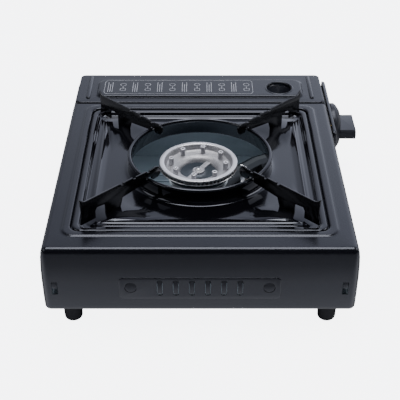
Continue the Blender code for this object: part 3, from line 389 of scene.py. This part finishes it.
STEEL = surface("bright_steel", (0.55, 0.55, 0.57), (0.68, 0.68, 0.70), (0.18, 0.30), metallic=1.0,
                grain=900.0, mottle=80.0, bump=0.04)
BRASS = surface("turned_brass", (0.60, 0.40, 0.15), (0.74, 0.53, 0.22), (0.20, 0.32), metallic=1.0,
                grain=900.0, mottle=70.0, bump=0.05)
RUBBER = surface("black_rubber", (0.005, 0.005, 0.006), (0.009, 0.009, 0.011), (0.50, 0.62),
                 grain=1100.0, mottle=40.0, bump=0.15, specular=0.22)
PLASTIC = surface("dark_moulded_plastic", (0.012, 0.013, 0.018), (0.018, 0.019, 0.025), (0.28, 0.36),
                  grain=2200.0, mottle=30.0, bump=0.12)
NYLON = surface("white_nylon", (0.62, 0.61, 0.57), (0.72, 0.71, 0.67), (0.35, 0.45),
                grain=900.0, mottle=50.0, bump=0.05)
CERAMIC = surface("glazed_ceramic", (0.70, 0.68, 0.63), (0.80, 0.78, 0.74), (0.12, 0.22),
                  grain=600.0, mottle=60.0, bump=0.03)
LEAD = surface("orange_lead_sleeve", (0.50, 0.085, 0.02), (0.62, 0.13, 0.04), (0.38, 0.5),
               grain=900.0, mottle=60.0, bump=0.05)
PRINT = surface("white_print", (0.36, 0.37, 0.42), (0.46, 0.47, 0.52), (0.4, 0.5),
                grain=900.0, mottle=60.0, bump=0.02)
# Near-black plugs that fill the nozzle holes: painted shade for the depth of each bore.
PAINTED_BORE_SHADE = surface("painted_bore_shade", (0.004, 0.004, 0.004), (0.007, 0.007, 0.007), (0.6, 0.7))


# ------------------------------------------------------------------ shell

def body_ring(inset, z):
    radius = max(7.0 * MM - inset, 1.6 * MM)
    return ("box", -HALF_X + inset, HALF_X - inset, BODY.y - HALF_Y + inset, BODY.y + HALF_Y - inset,
            radius, z)


def field_ring(grow, z):
    reach = OPENING_HALF + 7.4 * MM + grow
    return ("box", PAN.x - reach, PAN.x + reach, PAN.y - reach, PAN.y + reach, 12.0 * MM + grow, z)


def opening_ring(half, z, radius=10.0 * MM):
    return ("box", PAN.x - half, PAN.x + half, PAN.y - half, PAN.y + half, radius, z)


def shell_rings():
    """From the bottom edge over the bowed walls to the raised field and down into the opening."""
    rows = [(0.0, 1.9), (0.35, 1.2), (1.4, 0.6), (4.0, 0.35), (16.0, 0.0), (34.0, -0.3), (46.0, -0.1),
            (54.0, 0.35), (60.0, 1.1), (62.6, 1.9), (64.2, 3.0), (65.1, 4.3), (65.5, 5.6), (65.6, 7.0)]
    rings = [body_ring(inset * MM, BOTTOM_Z + height * MM) for height, inset in rows]
    rings += [field_ring(2.0 * MM, BORDER_Z), field_ring(0.3 * MM, BORDER_Z + 0.05 * MM),
              field_ring(-0.4 * MM, BORDER_Z + 0.3 * MM), field_ring(-1.0 * MM, FIELD_Z - 0.25 * MM),
              field_ring(-1.8 * MM, FIELD_Z), field_ring(-3.0 * MM, FIELD_Z)]
    edge = OPENING_HALF
    rings += [opening_ring(edge + 1.6 * MM, FIELD_Z), opening_ring(edge + 0.9 * MM, FIELD_Z - 0.1 * MM),
              opening_ring(edge + 0.3 * MM, FIELD_Z - 0.5 * MM), opening_ring(edge, FIELD_Z - 1.1 * MM),
              opening_ring(edge, FIELD_Z - 4.6 * MM), opening_ring(edge - 0.6 * MM, FIELD_Z - 5.2 * MM),
              opening_ring(edge - 7.0 * MM, FIELD_Z - 5.2 * MM)]
    return rings


def louvre_row():
    return [BODY.y + (index - (LOUVRE_COUNT - 1) / 2) * LOUVRE_PITCH for index in range(LOUVRE_COUNT)]


def build_shell():
    shell = skin("stove_body", shell_rings(), count=64)
    apply_change(shell, "SOLIDIFY", thickness=SHEET, offset=-1.0)
    face = -HALF_X
    emboss = slab("end_panel", (face - 1.0 * MM, BODY.y - PANEL_HALF, PANEL_Z[0]),
                  (face + 4.0 * MM, BODY.y + PANEL_HALF, PANEL_Z[1]))
    round_box_corners(emboss, 4.0 * MM)
    round_edges(emboss, 0.9 * MM, 3)
    pocket = slab("end_pocket", (face + 0.9 * MM, BODY.y - PANEL_HALF + 1.3 * MM, PANEL_Z[0] + 1.3 * MM),
                  (face + 9.0 * MM, BODY.y + PANEL_HALF - 1.3 * MM, PANEL_Z[1] - 1.3 * MM))
    unite(shell, emboss)
    cut(shell, pocket)
    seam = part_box("bay_partition")[0].x + 3.5 * MM
    side_cut = slab("side_cut", (seam, BODY.y - HALF_Y - CUT_REACH, LID_TOP - 7.6 * MM),
                    (HALF_X + CUT_REACH, BODY.y + HALF_Y + CUT_REACH, FIELD_Z + CUT_REACH))
    far_cut = slab("far_cut", (HINGE_X - 7.4 * MM, BODY.y - HALF_Y - CUT_REACH, HINGE_Z - 7.4 * MM),
                   (HALF_X + CUT_REACH, BODY.y + HALF_Y + CUT_REACH, FIELD_Z + CUT_REACH))
    cut(shell, side_cut, far_cut)
    holes = []
    for y in louvre_row():
        slot = slab("louvre", (face - 4 * MM, y - 2.5 * MM, 35.4 * MM),
                    (face + 2 * MM, y + 2.5 * MM, 52.0 * MM))
        round_box_corners(slot, 1.6 * MM)
        holes.append(slot)
    for across in (-1, 1):
        y = BODY.y + across * DISC_Y
        holes.append(bar("boss", (face - 4 * MM, y, DISC_Z), (face - 0.1 * MM, y, DISC_Z), 5.4 * MM, 32))
        y = BODY.y + across * TAB_Y
        holes.append(slab("tab_slot", (face - 4 * MM, y - 2.7 * MM, 36.0 * MM),
                          (face + 6 * MM, y + 2.7 * MM, 49.5 * MM)))
    knob = middle("valve_spindle")
    front = BODY.y - HALF_Y
    holes.append(bar("spindle_hole", (knob.x, front - 6 * MM, knob.z), (knob.x, front + 8 * MM, knob.z),
                     4.5 * MM, 24))
    lever = middle("lock_lever")
    holes.append(slab("lever_hole", (lever.x - 2.8 * MM, front - 6 * MM, lever.z - 2.8 * MM),
                      (lever.x + 2.8 * MM, front + 6 * MM, lever.z + 18.8 * MM)))
    cut(shell, *holes)
    finish(shell, PAINT, "stove", "body_shell", slot="shell_paint", smooth=30.0)
    build_louvre_flaps(face)


def round_box_corners(piece, radius):
    """Round the four edges of a block that run along X."""
    pick(piece)
    bpy.ops.object.mode_set(mode="EDIT")
    bpy.ops.mesh.select_mode(type="EDGE")
    bpy.ops.mesh.select_all(action="DESELECT")
    work = bmesh.from_edit_mesh(piece.data)
    for edge in work.edges:
        along = edge.verts[1].co - edge.verts[0].co
        edge.select = abs(along.x) > 0.9 * along.length
    bmesh.update_edit_mesh(piece.data)
    bpy.ops.mesh.bevel(offset=radius, segments=5, affect="EDGES")
    object_mode()


def build_louvre_flaps(face):
    """A leaning tongue in each louvre, a disc in each round hole and a tab in each end slot."""
    flaps = []
    for y in louvre_row():
        tongue = slab("tongue", (face - 0.1 * MM, y - 2.1 * MM, 37.2 * MM),
                      (face + 0.7 * MM, y + 2.1 * MM, 51.6 * MM), 0.3 * MM, 2)
        lean(tongue, Vector((face + 0.3 * MM, y, 51.6 * MM)), 4.5)
        flaps.append(tongue)
    for across in (-1, 1):
        y = BODY.y + across * DISC_Y
        disc = bar("pressed_disc", (face - 0.75 * MM, y, DISC_Z), (face + 0.2 * MM, y, DISC_Z),
                   4.9 * MM, 40, 0.3 * MM)
        lean(disc, Vector((face, y, DISC_Z)), 6.0)
        flaps.append(disc)
        y = BODY.y + across * TAB_Y
        tab = slab("tab", (face + 0.3 * MM, y - 2.2 * MM, 42.6 * MM),
                   (face + 1.1 * MM, y + 2.2 * MM, 50.0 * MM), 0.2 * MM, 2)
        lean(tab, Vector((face + 0.8 * MM, y, 50.0 * MM)), 5.0)
        flaps.append(tab)
    finish(join("louvre_tongues", flaps), PAINT, "stove", slot="shell_paint")


def lean(piece, pivot, degrees):
    """Turn a piece about a line along Y through a point."""
    piece.data.transform(Matrix.Translation(pivot) @ Matrix.Rotation(math.radians(degrees), 4, "Y")
                         @ Matrix.Translation(-pivot))


def join(name, pieces):
    nothing_selected()
    for piece in pieces:
        piece.select_set(True)
    bpy.context.view_layer.objects.active = pieces[0]
    if len(pieces) > 1:
        bpy.ops.object.join()
    return added(name)


# ------------------------------------------------------------------ lid

def build_lid():
    near, far = LID_LOW.x, LID_HIGH.x

    def plain(x0, x1, inset, z, radius=5.0 * MM):
        side = LID_SIDE - inset
        return ("box", x0, x1, LID.y - side, LID.y + side, radius, z)

    def emboss(shrink, z, radius=9.0 * MM):
        side = LID_SIDE - 22.0 * MM - shrink
        return ("box", near + 9.8 * MM + shrink, far - 15.6 * MM - shrink, LID.y - side, LID.y + side,
                radius, z)

    low = LID_TOP - 6.9 * MM
    rings = [plain(near + 0.1 * MM, far, 0.1 * MM, low), plain(near, far, 0.0, HINGE_Z),
             plain(near, far, 0.0, LID_TOP - 2.0 * MM),
             plain(near + 0.2 * MM, far - 0.2 * MM, 0.2 * MM, LID_TOP - 1.1 * MM),
             plain(near + 0.6 * MM, far - 0.6 * MM, 0.6 * MM, LID_TOP - 0.4 * MM),
             plain(near + 1.2 * MM, far - 1.2 * MM, 1.2 * MM, LID_TOP - 0.05 * MM),
             plain(near + 2.2 * MM, far - 2.4 * MM, 2.2 * MM, LID_TOP),
             emboss(-1.2 * MM, LID_TOP), emboss(0.0, LID_TOP + 0.1 * MM),
             emboss(0.7 * MM, LID_TOP + 0.7 * MM), emboss(1.6 * MM, LID_TOP + 1.9 * MM),
             emboss(2.3 * MM, LID_TOP + 2.4 * MM),
             emboss(3.2 * MM, LID_HIGH.z), emboss(5.0 * MM, LID_HIGH.z, 8.0 * MM)]
    lid = skin("lid_cover", rings, count=48, caps=(False, True))
    apply_change(lid, "SOLIDIFY", thickness=SHEET, offset=-1.0)
    ribs = []
    for across in (-1, 1):
        y = LID.y + across * (LID_SIDE - 13.3 * MM)
        ribs.append(rib((near + 8.5 * MM, y), (far - 5.0 * MM, y), 2.6 * MM, LID_TOP))
    unite(lid, *ribs)
    ears = []
    for node in ("hinge_bracket_front", "hinge_bracket_rear"):
        side = 1 if middle(node).y > LID.y else -1
        y = LID.y + side * LID_EAR_Y
        ears.append(bar("ear", (HINGE_X, y - SHEET, HINGE_Z), (HINGE_X, y + SHEET, HINGE_Z), 4.9 * MM, 32))
    unite(lid, *ears)
    hole = Vector((FINGER_HOLE[0], LID.y + FINGER_HOLE[1], 0))
    well = bar("finger_hole", (hole.x, hole.y, LID_TOP - 6 * MM), (hole.x, hole.y, LID_TOP + 6 * MM),
               15.0 * MM, 64)
    cut(lid, well)
    finish(lid, PAINT, "lid", "cartridge_lid", slot="shell_paint", smooth=30.0)
    build_hole_rim(hole)
    build_print()


def rib(start, end, half_width, base):
    """A long low bump with round ends."""
    nothing_selected()
    length = end[0] - start[0]
    centre = (start[0] + half_width, start[1], base - 0.4 * MM)
    bpy.ops.mesh.primitive_uv_sphere_add(segments=24, ring_count=12, radius=half_width, location=centre)
    piece = added("rib")
    bpy.ops.object.mode_set(mode="EDIT")
    bpy.ops.transform.resize(value=(1, 1, 0.85), center_override=centre)
    bpy.ops.mesh.select_all(action="DESELECT")
    bpy.ops.mesh.select_mode(type="VERT")
    work = bmesh.from_edit_mesh(piece.data)
    for vert in work.verts:
        vert.select = vert.co.x > 0.05 * MM
    work.select_flush_mode()
    bmesh.update_edit_mesh(piece.data)
    bpy.ops.transform.translate(value=(length - 2 * half_width, 0, 0))
    settle(piece)
    return piece


def build_hole_rim(hole):
    """Rolled edge of the finger hole."""
    top = LID_HIGH.z
    rows = [(16.2, -0.9), (16.0, 0.0), (15.6, 0.35), (15.0, 0.5), (14.4, 0.35), (13.9, -0.2), (13.6, -1.0),
            (13.45, -2.2), (13.5, -3.6), (13.9, -4.0), (14.3, -3.6), (14.3, -2.0), (14.7, -0.9)]
    rim = skin("lid_hole_rim", [("round", hole.x, hole.y, radius * MM, top + height * MM)
                                for radius, height in rows], count=64, closed=True)
    finish(rim, PAINT, "lid", slot="shell_paint")


def flat_strip(x0, x1, y0, y1, z):
    return slab("strip", (x0, y0, z), (x1, y1, z + 0.05 * MM))


def outline_strips(x0, x1, y0, y1, z, width):
    return [flat_strip(x0, x1, y0, y0 + width, z), flat_strip(x0, x1, y1 - width, y1, z),
            flat_strip(x0, x0 + width, y0, y1, z), flat_strip(x1 - width, x1, y0, y1, z)]


def loop_mark(x, y, radius, width, z):
    """A thin printed ring."""
    rows = [(radius, 0.0), (radius, 0.05 * MM), (radius - width, 0.05 * MM), (radius - width, 0.0)]
    return skin("mark", [("round", x, y, size, z + height) for size, height in rows], count=24, closed=True)


def build_print():
    """Rounded frame with plain bars, rings and small square outlines, in the place of a printed guide."""
    z = LID_HIGH.z - 0.01 * MM
    x0, x1 = LID_LOW.x + 15.0 * MM, LID_LOW.x + 48.5 * MM
    y0, y1 = LID.y - 59.0 * MM, LID.y + 107.0 * MM
    line = 0.45 * MM
    outer = (x0, x1, y0, y1, 5.0 * MM)
    inner = (x0 + line, x1 - line, y0 + line, y1 - line, 4.6 * MM)
    border = skin("print_border", [("box", *outer, z), ("box", *outer, z + 0.05 * MM)],
                  count=32, caps=(True, True))
    cut(border, skin("print_field", [("box", *inner, z - MM), ("box", *inner, z + MM)],
                     count=32, caps=(True, True)))
    marks = [border]
    step = (y1 - y0) / 12
    for column in range(12):
        y = y1 - (column + 0.5) * step
        if column % 2 == 0:
            for row in range(3):
                marks.append(flat_strip(x0 + 5 * MM, x1 - (5 + 5 * (row == 1)) * MM, y - (row - 1) * 2.4 * MM,
                                        y - (row - 1) * 2.4 * MM + 0.7 * MM, z))
        else:
            centre = (x0 + x1) / 2
            marks.append(loop_mark(centre + 6 * MM, y, 3.4 * MM, 0.6 * MM, z))
            marks.append(flat_strip(centre - 3 * MM, centre + 1.5 * MM, y - 0.35 * MM, y + 0.35 * MM, z))
            marks += outline_strips(centre - 9 * MM, centre - 3 * MM, y - 3.2 * MM, y + 3.2 * MM, z, 0.6 * MM)
    finish(join("lid_print", marks), PRINT, "lid", slot="shell_paint")


# ------------------------------------------------------------------ pan

def build_pan():
    rim = FIELD_Z - 0.9 * MM
    floor = FIELD_Z - 4.2 * MM
    gutter = FIELD_Z - 4.9 * MM
    half = PAN_HALF

    def square(inset, z, radius=9.0 * MM):
        return opening_ring(half - inset, z, max(radius - 0.25 * inset, 5.0 * MM))

    def circle(radius, z):
        return ("round", PAN.x, PAN.y, radius, z)

    rings = [square(0.0, rim - 3.6 * MM), square(0.0, rim - 1.2 * MM), square(0.3 * MM, rim - 0.5 * MM),
             square(0.9 * MM, rim - 0.08 * MM), square(1.8 * MM, rim), square(3.4 * MM, rim),
             square(4.4 * MM, rim - 0.15 * MM), square(5.2 * MM, rim - 0.6 * MM),
             square(6.0 * MM, rim - 1.5 * MM), square(6.9 * MM, rim - 2.7 * MM), square(7.8 * MM, gutter + 0.2 * MM),
             square(8.7 * MM, gutter),
             square(9.7 * MM, gutter + 0.4 * MM), square(10.8 * MM, floor - 0.8 * MM),
             square(12.0 * MM, floor - 0.2 * MM), square(14.0 * MM, floor)]
    for inset, radius in ((16.0, 16.0), (18.0, 28.0), (20.5, 42.0), (23.0, 56.0), (26.0, 70.0)):
        rings.append(opening_ring(half - inset * MM, floor + 0.05 * MM, radius * MM))
    wall = COLLAR_RADIUS - 0.8 * MM
    for grow, rise in ((14.0, 0.1), (9.0, 0.15), (4.6, 0.25), (2.4, 0.6), (1.0, 1.3), (0.2, 2.5)):
        rings.append(circle(COLLAR_RADIUS + grow * MM, floor + rise * MM))
    rings += [circle(wall + 0.2 * MM, floor + 4.4 * MM), circle(wall, COLLAR_Z - 5.0 * MM)]
    bead = 2.0 * MM
    centre = (COLLAR_RADIUS - 1.6 * MM, COLLAR_Z - bead + 0.2 * MM)
    for step in range(9):
        turn = math.radians(-20 + step * 29)
        rings.append(circle(centre[0] + bead * math.cos(turn), centre[1] + bead * math.sin(turn)))
    rings += [circle(wall - 1.0 * MM, COLLAR_Z - 4.6 * MM), circle(wall - 1.0 * MM, floor + 2.0 * MM),
              circle(wall - 0.2 * MM, floor + 0.2 * MM)]
    pan = skin("enamelled_pan", rings, count=96)
    raise_pads(pan)
    apply_change(pan, "SOLIDIFY", thickness=0.5 * MM, offset=-1.0)
    finish(pan, ENAMEL, "pan", "drip_pan", slot="black_enamel", smooth=50.0)


def raise_pads(pan):
    """Lift a soft pad in each corner of the floor for the feet of a support."""
    for across_x in (-1, 1):
        for across_y in (-1, 1):
            pick(pan)
            bpy.ops.object.mode_set(mode="EDIT")
            bpy.ops.mesh.select_mode(type="VERT")
            work = bmesh.from_edit_mesh(pan.data)
            spot = Vector((PAN.x + across_x * PAD_REACH, PAN.y + across_y * PAD_REACH, FIELD_Z))
            for part in (work.faces, work.edges, work.verts):
                for item in part:
                    item.select = False
            for vert in work.verts:
                vert.select = (vert.co - spot).length < PAD_RADIUS
            work.select_flush_mode()
            bmesh.update_edit_mesh(pan.data)
            bpy.ops.transform.translate(value=(0, 0, PAD_RISE), use_proportional_edit=True,
                                        use_proportional_connected=True, proportional_edit_falloff="SMOOTH",
                                        proportional_size=PAD_RADIUS)
    settle(pan)


# ------------------------------------------------------------------ burner

def round_rows(rows, top):
    return [("round", BURNER.x, BURNER.y, radius * MM, top + height * MM) for radius, height in rows]


def build_burner():
    top = BURNER_TOP
    rows = [(38.2, -4.7), (38.2, -1.7), (37.6, -1.5), (37.6, -0.4), (34.4, -0.4), (33.6, -0.8), (32.9, -2.2),
            (32.4, -4.4), (31.6, -5.6), (30.0, -6.2), (27.0, -6.5), (24.6, -6.7), (22.8, -7.0), (21.2, -7.6),
            (19.8, -8.6), (18.8, -9.8), (18.1, -11.2), (17.8, -12.4), (29.0, -12.4), (29.2, -6.9),
            (32.5, -6.7), (33.0, -5.6), (37.6, -5.5), (37.6, -4.9)]
    head = skin("burner_casting", round_rows(rows, top), count=120, closed=True)
    slots = []
    for index in range(SLOT_COUNT):
        turn = 2 * math.pi * index / SLOT_COUNT
        slot = slab("slot", (34.6 * MM, -1.1 * MM, -4.5 * MM), (40.0 * MM, 1.1 * MM, -1.9 * MM))
        slot.data.transform(Matrix.Translation((BURNER.x, BURNER.y, top)) @ Matrix.Rotation(turn, 4, "Z"))
        slots.append(slot)
    cut(head, join("slot_ring", slots))
    nozzles, tips, shade_plugs = [], [], []
    for index in range(NOZZLE_COUNT):
        turn = math.radians(NOZZLE_START + 360 * index / NOZZLE_COUNT)
        x, y = BURNER.x + NOZZLE_CIRCLE * math.cos(turn), BURNER.y + NOZZLE_CIRCLE * math.sin(turn)
        nozzles.append(bar("nozzle_post", (x, y, top - 7.4 * MM), (x, y, top + 0.7 * MM), 2.45 * MM, 24))
        tips.append(nozzle_tip(x, y, top))
        # A dark plug stands in each nozzle's hole, painted shade where the bore runs deep.
        shade_plugs.append(bar("nozzle_bore", (x, y, top - 1.0 * MM), (x, y, top + 1.40 * MM), 1.15 * MM, 16))
    bridge = slab("bridge", (-22.3 * MM, -2.7 * MM, -12.3 * MM), (22.3 * MM, 2.7 * MM, -10.6 * MM), 0.5 * MM)
    eye = bar("bridge_eye", (0, 0, -12.8 * MM), (0, 0, -10.0 * MM), 5.9 * MM, 40, 0.5 * MM)
    across_hole = Matrix.Rotation(math.radians(BRIDGE_TURN), 4, "Z")
    for piece in (bridge, eye):
        piece.data.transform(Matrix.Translation((BURNER.x, BURNER.y, top)) @ across_hole)
    unite(head, bridge, eye)
    head = join("burner_casting", [head] + nozzles)
    finish(head, CAST, "stove", "burner_head", slot="cast_alloy", smooth=32.0)
    finish(join("nozzle_shade_plugs", shade_plugs), PAINTED_BORE_SHADE, "stove", slot="cast_alloy")
    finish(join("nozzle_tips", tips), MACHINED, "stove", slot="cast_alloy")
    rows = [(38.25, -1.75), (38.3, -0.8), (38.0, -0.2), (37.3, 0.05), (34.4, 0.05), (33.8, -0.25),
            (33.6, -1.0), (34.4, -1.2), (37.4, -1.75)]
    crown = skin("burner_crown", round_rows(rows, top), count=120, closed=True)
    rows = [(37.2, -4.6), (38.2, -4.6), (38.5, -5.0), (38.2, -5.4), (37.2, -5.5)]
    lower = skin("burner_lower_rim", round_rows(rows, top), count=120, closed=True)
    crown = join("burner_crown", [crown, lower])
    finish(crown, MACHINED, "stove", slot="cast_alloy")
    build_burner_screw(top)


def nozzle_tip(x, y, top):
    rows = [(2.2, 0.5), (2.5, 0.55), (2.62, 0.9), (2.45, 1.3), (2.0, 1.48), (1.5, 1.48),
            (1.15, 1.3), (1.1, 0.4)]
    return skin("nozzle_tip", [("round", x, y, radius * MM, top + height * MM) for radius, height in rows],
                count=24, closed=True)


def build_burner_screw(top):
    base = top - 10.0 * MM
    rows = [(3.9, 0.0), (3.9, 0.5), (3.5, 0.6), (3.4, 0.9), (3.2, 1.5), (2.4, 2.1), (1.2, 2.4), (0.4, 2.45)]
    screw = skin("burner_screw_head", round_rows(rows, base), count=40, caps=(True, True))
    crosses = [slab("cross", (-2.0 * MM, -0.4 * MM, 1.3 * MM), (2.0 * MM, 0.4 * MM, 3.0 * MM)),
               slab("cross", (-0.4 * MM, -2.0 * MM, 1.3 * MM), (0.4 * MM, 2.0 * MM, 3.0 * MM))]
    for cross in crosses:
        cross.data.transform(Matrix.Translation((BURNER.x, BURNER.y, base)) @ Matrix.Rotation(0.5, 4, "Z"))
    cut(screw, *crosses)
    finish(screw, STEEL, "stove", "burner_screw", slot="bright_steel")


# ------------------------------------------------------------------ smaller parts

def build_supports():
    for node in ("pan_support_far_front", "pan_support_far_rear", "pan_support_near_front",
                 "pan_support_near_rear"):
        finish(softened(node, 0.35 * MM), ARM_ENAMEL, "pan", node, slot="black_enamel", smooth=32.0)


def build_base():
    base = softened("base_plate", 0.3 * MM)
    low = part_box("base_plate")[0]
    ribs = []
    for offset in (-104, -88, 60, 72, 84):
        x = PAN.x + offset * MM
        ribs.append(slab("floor_rib", (x - 2.2 * MM, BODY.y - 96 * MM, low.z + 0.5 * MM),
                         (x + 2.2 * MM, BODY.y + 96 * MM, low.z + 2.4 * MM), 0.7 * MM, 3))
    finish(join("floor_ribs", ribs), SLATE, "stove", slot="plated_steel")
    finish(base, SLATE, "stove", "base_plate", slot="plated_steel", smooth=32.0)
    spot = (PAN.x + 57 * MM, BODY.y - 1.0 * MM)
    rows = [(3.6, 0.0), (3.5, 0.9), (2.8, 1.7), (1.4, 2.2), (0.4, 2.3)]
    screw = skin("floor_screw", [("round", spot[0], spot[1], radius * MM, low.z + (0.7 + height) * MM)
                                 for radius, height in rows], count=24, caps=(True, True))
    cut(screw, slab("slot", (spot[0] - 2.4 * MM, spot[1] - 0.4 * MM, low.z + 2.2 * MM),
                    (spot[0] + 2.4 * MM, spot[1] + 0.4 * MM, low.z + 5 * MM)))
    finish(screw, STEEL, "stove", slot="bright_steel")


def build_small_parts():
    plan = {"bay_partition": (0.2, SLATE, "plated_steel"), "burner_cup": (0.3, CUP_STEEL, "plated_steel"),
            "burner_stand": (0.2, ZINC, "plated_steel"), "electrode_bracket": (0.2, ZINC, "plated_steel"),
            "cartridge_rest": (0.4, ZINC, "plated_steel"), "hinge_bracket_front": (0.2, ZINC, "plated_steel"),
            "hinge_bracket_rear": (0.2, ZINC, "plated_steel"), "regulator_cap": (0.4, ZINC, "plated_steel"),
            "regulator_body": (0.8, CAST, "cast_alloy"), "piezo_igniter": (0.3, PLASTIC, "dark_plastic"),
            "control_panel": (0.5, PAINT, "shell_paint"), "inlet_collar": (0.4, NYLON, "white_nylon"),
            "inlet_valve": (0.3, BRASS, "brass_parts"), "gas_jet": (0.3, BRASS, "brass_parts"),
            "inlet_seal": (0.3, RUBBER, "rubber_parts")}
    for node, (width, paint, slot) in plan.items():
        finish(softened(node, width * MM), paint, "stove", node, slot=slot)
    for node in ("foot_near_front", "foot_near_rear", "foot_far_front", "foot_far_rear"):
        finish(softened(node, 0.7 * MM, 3), RUBBER, "stove", node, slot="rubber_parts")
    moving = {"control_knob": (1.5, PLASTIC, "knob", "dark_plastic"),
              "striker_cam": (0.3, PLASTIC, "knob", "dark_plastic"),
              "lock_lever": (0.8, PLASTIC, "lever", "dark_plastic"),
              "push_plate": (0.2, ZINC, "pusher", "plated_steel")}
    for node, (width, paint, body, slot) in moving.items():
        finish(softened(node, width * MM, 3), paint, body, node, slot=slot)
    plain = {"mixing_tube": ARM_ENAMEL, "electrode": STEEL, "electrode_insulator": CERAMIC,
             "ignition_lead": LEAD, "hinge_pin_front": STEEL, "hinge_pin_rear": STEEL, "push_rod": STEEL,
             "striker_plunger": STEEL,
             "striker_spring": STEEL, "valve_spindle": BRASS, "base_screw_far_front": STEEL,
             "base_screw_far_rear": STEEL, "base_screw_near_front": STEEL, "base_screw_near_rear": STEEL}
    for node, paint in plain.items():
        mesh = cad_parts[node].data
        mesh.materials.clear()
        mesh.materials.append(paint)


# ------------------------------------------------------------------ studio

def set_stops(ramp, stops, tint=(1.0, 1.0, 1.0)):
    """Give a colour ramp its stops, each a place and a tone."""
    elements = ramp.color_ramp.elements
    for index, (spot, tone) in enumerate(stops):
        stop = elements[index] if index < 2 else elements.new(spot)
        stop.position = spot
        stop.color = (*(part * tone for part in tint), 1.0)


def build_floor():
    nothing_selected()
    bpy.ops.mesh.primitive_plane_add(size=14.0, location=(0, 0, -0.0002))
    floor = added("studio_floor")
    made = bpy.data.materials.new("pale_floor_painted_glow")
    made.use_nodes = True
    nodes, links = made.node_tree.nodes, made.node_tree.links
    shader = nodes["Principled BSDF"]
    shader.inputs["Base Color"].default_value = (0.40, 0.40, 0.41, 1.0)
    shader.inputs["Roughness"].default_value = 0.85
    shader.inputs["Specular IOR Level"].default_value = 0.2
    shader.inputs["Emission Color"].default_value = (0.96, 0.97, 1.0, 1.0)
    # For all rays but camera rays the floor glows, brightest in a band just in front of the near end wall and fading
    # away from it: a painted glow, placed so the near wall shows a painted reflection of it low down. Camera rays
    # see an evenly bright floor.
    place = nodes.new("ShaderNodeTexCoord")
    split = nodes.new("ShaderNodeSeparateXYZ")
    links.new(place.outputs["Object"], split.inputs["Vector"])
    along = nodes.new("ShaderNodeMapRange")
    along.inputs["From Min"].default_value = -0.30
    along.inputs["From Max"].default_value = -0.16
    links.new(split.outputs["X"], along.inputs["Value"])
    painted_glow = nodes.new("ShaderNodeValToRGB")
    set_stops(painted_glow, ((0.18, 0.02), (1.0, 0.03), (0.32, 0.32), (0.62, 0.62), (0.86, 1.0)))
    links.new(along.outputs["Result"], painted_glow.inputs["Fac"])
    path = nodes.new("ShaderNodeLightPath")
    level = nodes.new("ShaderNodeMix")
    level.inputs["B"].default_value = 6.0
    links.new(path.outputs["Is Camera Ray"], level.inputs["Factor"])
    links.new(painted_glow.outputs["Color"], level.inputs["A"])
    links.new(level.outputs["Result"], shader.inputs["Emission Strength"])
    floor.data.materials.append(made)


def build_world():
    world = bpy.data.worlds.new("studio")
    bpy.context.scene.world = world
    world.use_nodes = True
    nodes, links = world.node_tree.nodes, world.node_tree.links
    back = nodes["Background"]
    place = nodes.new("ShaderNodeTexCoord")
    split = nodes.new("ShaderNodeSeparateXYZ")
    links.new(place.outputs["Generated"], split.inputs["Vector"])
    ramp = nodes.new("ShaderNodeValToRGB")
    set_stops(ramp, ((0.0, 0.05), (0.52, 0.03), (0.64, 0.14), (0.80, 0.55), (0.92, 0.95), (1.0, 1.15)),
              (0.82, 0.86, 1.0))
    shift = nodes.new("ShaderNodeMapRange")
    shift.inputs["From Min"].default_value = -1.0
    shift.inputs["From Max"].default_value = 1.0
    links.new(split.outputs["X"], shift.inputs["Value"])
    links.new(shift.outputs["Result"], ramp.inputs["Fac"])
    side = nodes.new("ShaderNodeMapRange")
    side.inputs["From Min"].default_value = -0.35
    side.inputs["From Max"].default_value = 0.35
    side.inputs["To Min"].default_value = 1.5
    side.inputs["To Max"].default_value = 0.6
    links.new(split.outputs["Y"], side.inputs["Value"])
    lit = nodes.new("ShaderNodeVectorMath")
    lit.operation = "SCALE"
    links.new(ramp.outputs["Color"], lit.inputs["Vector"])
    links.new(side.outputs["Result"], lit.inputs["Scale"])
    path = nodes.new("ShaderNodeLightPath")
    seen = nodes.new("ShaderNodeMix")
    seen.data_type = "RGBA"
    seen.inputs["B"].default_value = (1.0, 1.0, 1.0, 1.0)
    links.new(path.outputs["Is Camera Ray"], seen.inputs["Factor"])
    links.new(lit.outputs["Vector"], seen.inputs["A"])
    links.new(seen.outputs["Result"], back.inputs["Color"])
    back.inputs["Strength"].default_value = 1.0


def area_light(name, place, target, size, power, colour=(1, 1, 1)):
    data = bpy.data.lights.new(name, "AREA")
    data.shape = "RECTANGLE"
    data.size, data.size_y = size
    data.energy = power
    data.color = colour
    lamp = bpy.data.objects.new(name, data)
    bpy.context.scene.collection.objects.link(lamp)
    lamp.location = place
    lamp.rotation_euler = (Vector(target) - Vector(place)).to_track_quat("-Z", "Y").to_euler()


def build_studio():
    build_floor()
    build_world()
    area_light("top_softbox", (0.2, 0.0, 2.4), (0, 0, 0), (1.6, 1.6), 50.0)
    area_light("left_softbox", (-0.6, 2.2, 1.5), (0, 0, 0.05), (1.8, 1.2), 10.0)
    area_light("inner_fill", (PAN.x + 0.01, PAN.y, 0.072), (PAN.x + 0.01, PAN.y, 0.0), (0.19, 0.20), 0.14,
               (0.86, 0.94, 1.0))
    area_light("bay_fill", (0.133, BODY.y - 0.085, 0.081), (0.133, BODY.y - 0.09, 0.0), (0.04, 0.04), 0.05)
    area_light("right_softbox", (0.2, -2.2, 1.4), (0, 0, 0.05), (1.4, 1.0), 14.0)
    camera = bpy.data.objects.new("camera", bpy.data.cameras.new("camera"))
    bpy.context.scene.collection.objects.link(camera)
    camera.location = CAMERA_PLACE
    camera.rotation_euler = (math.radians(90 - CAMERA_DOWN), 0, math.radians(-90))
    camera.data.sensor_width = 36.0
    camera.data.lens = CAMERA_LENS
    bpy.context.scene.camera = camera


build_shell()
build_lid()
build_pan()
build_burner()
build_supports()
build_base()
build_small_parts()
build_studio()
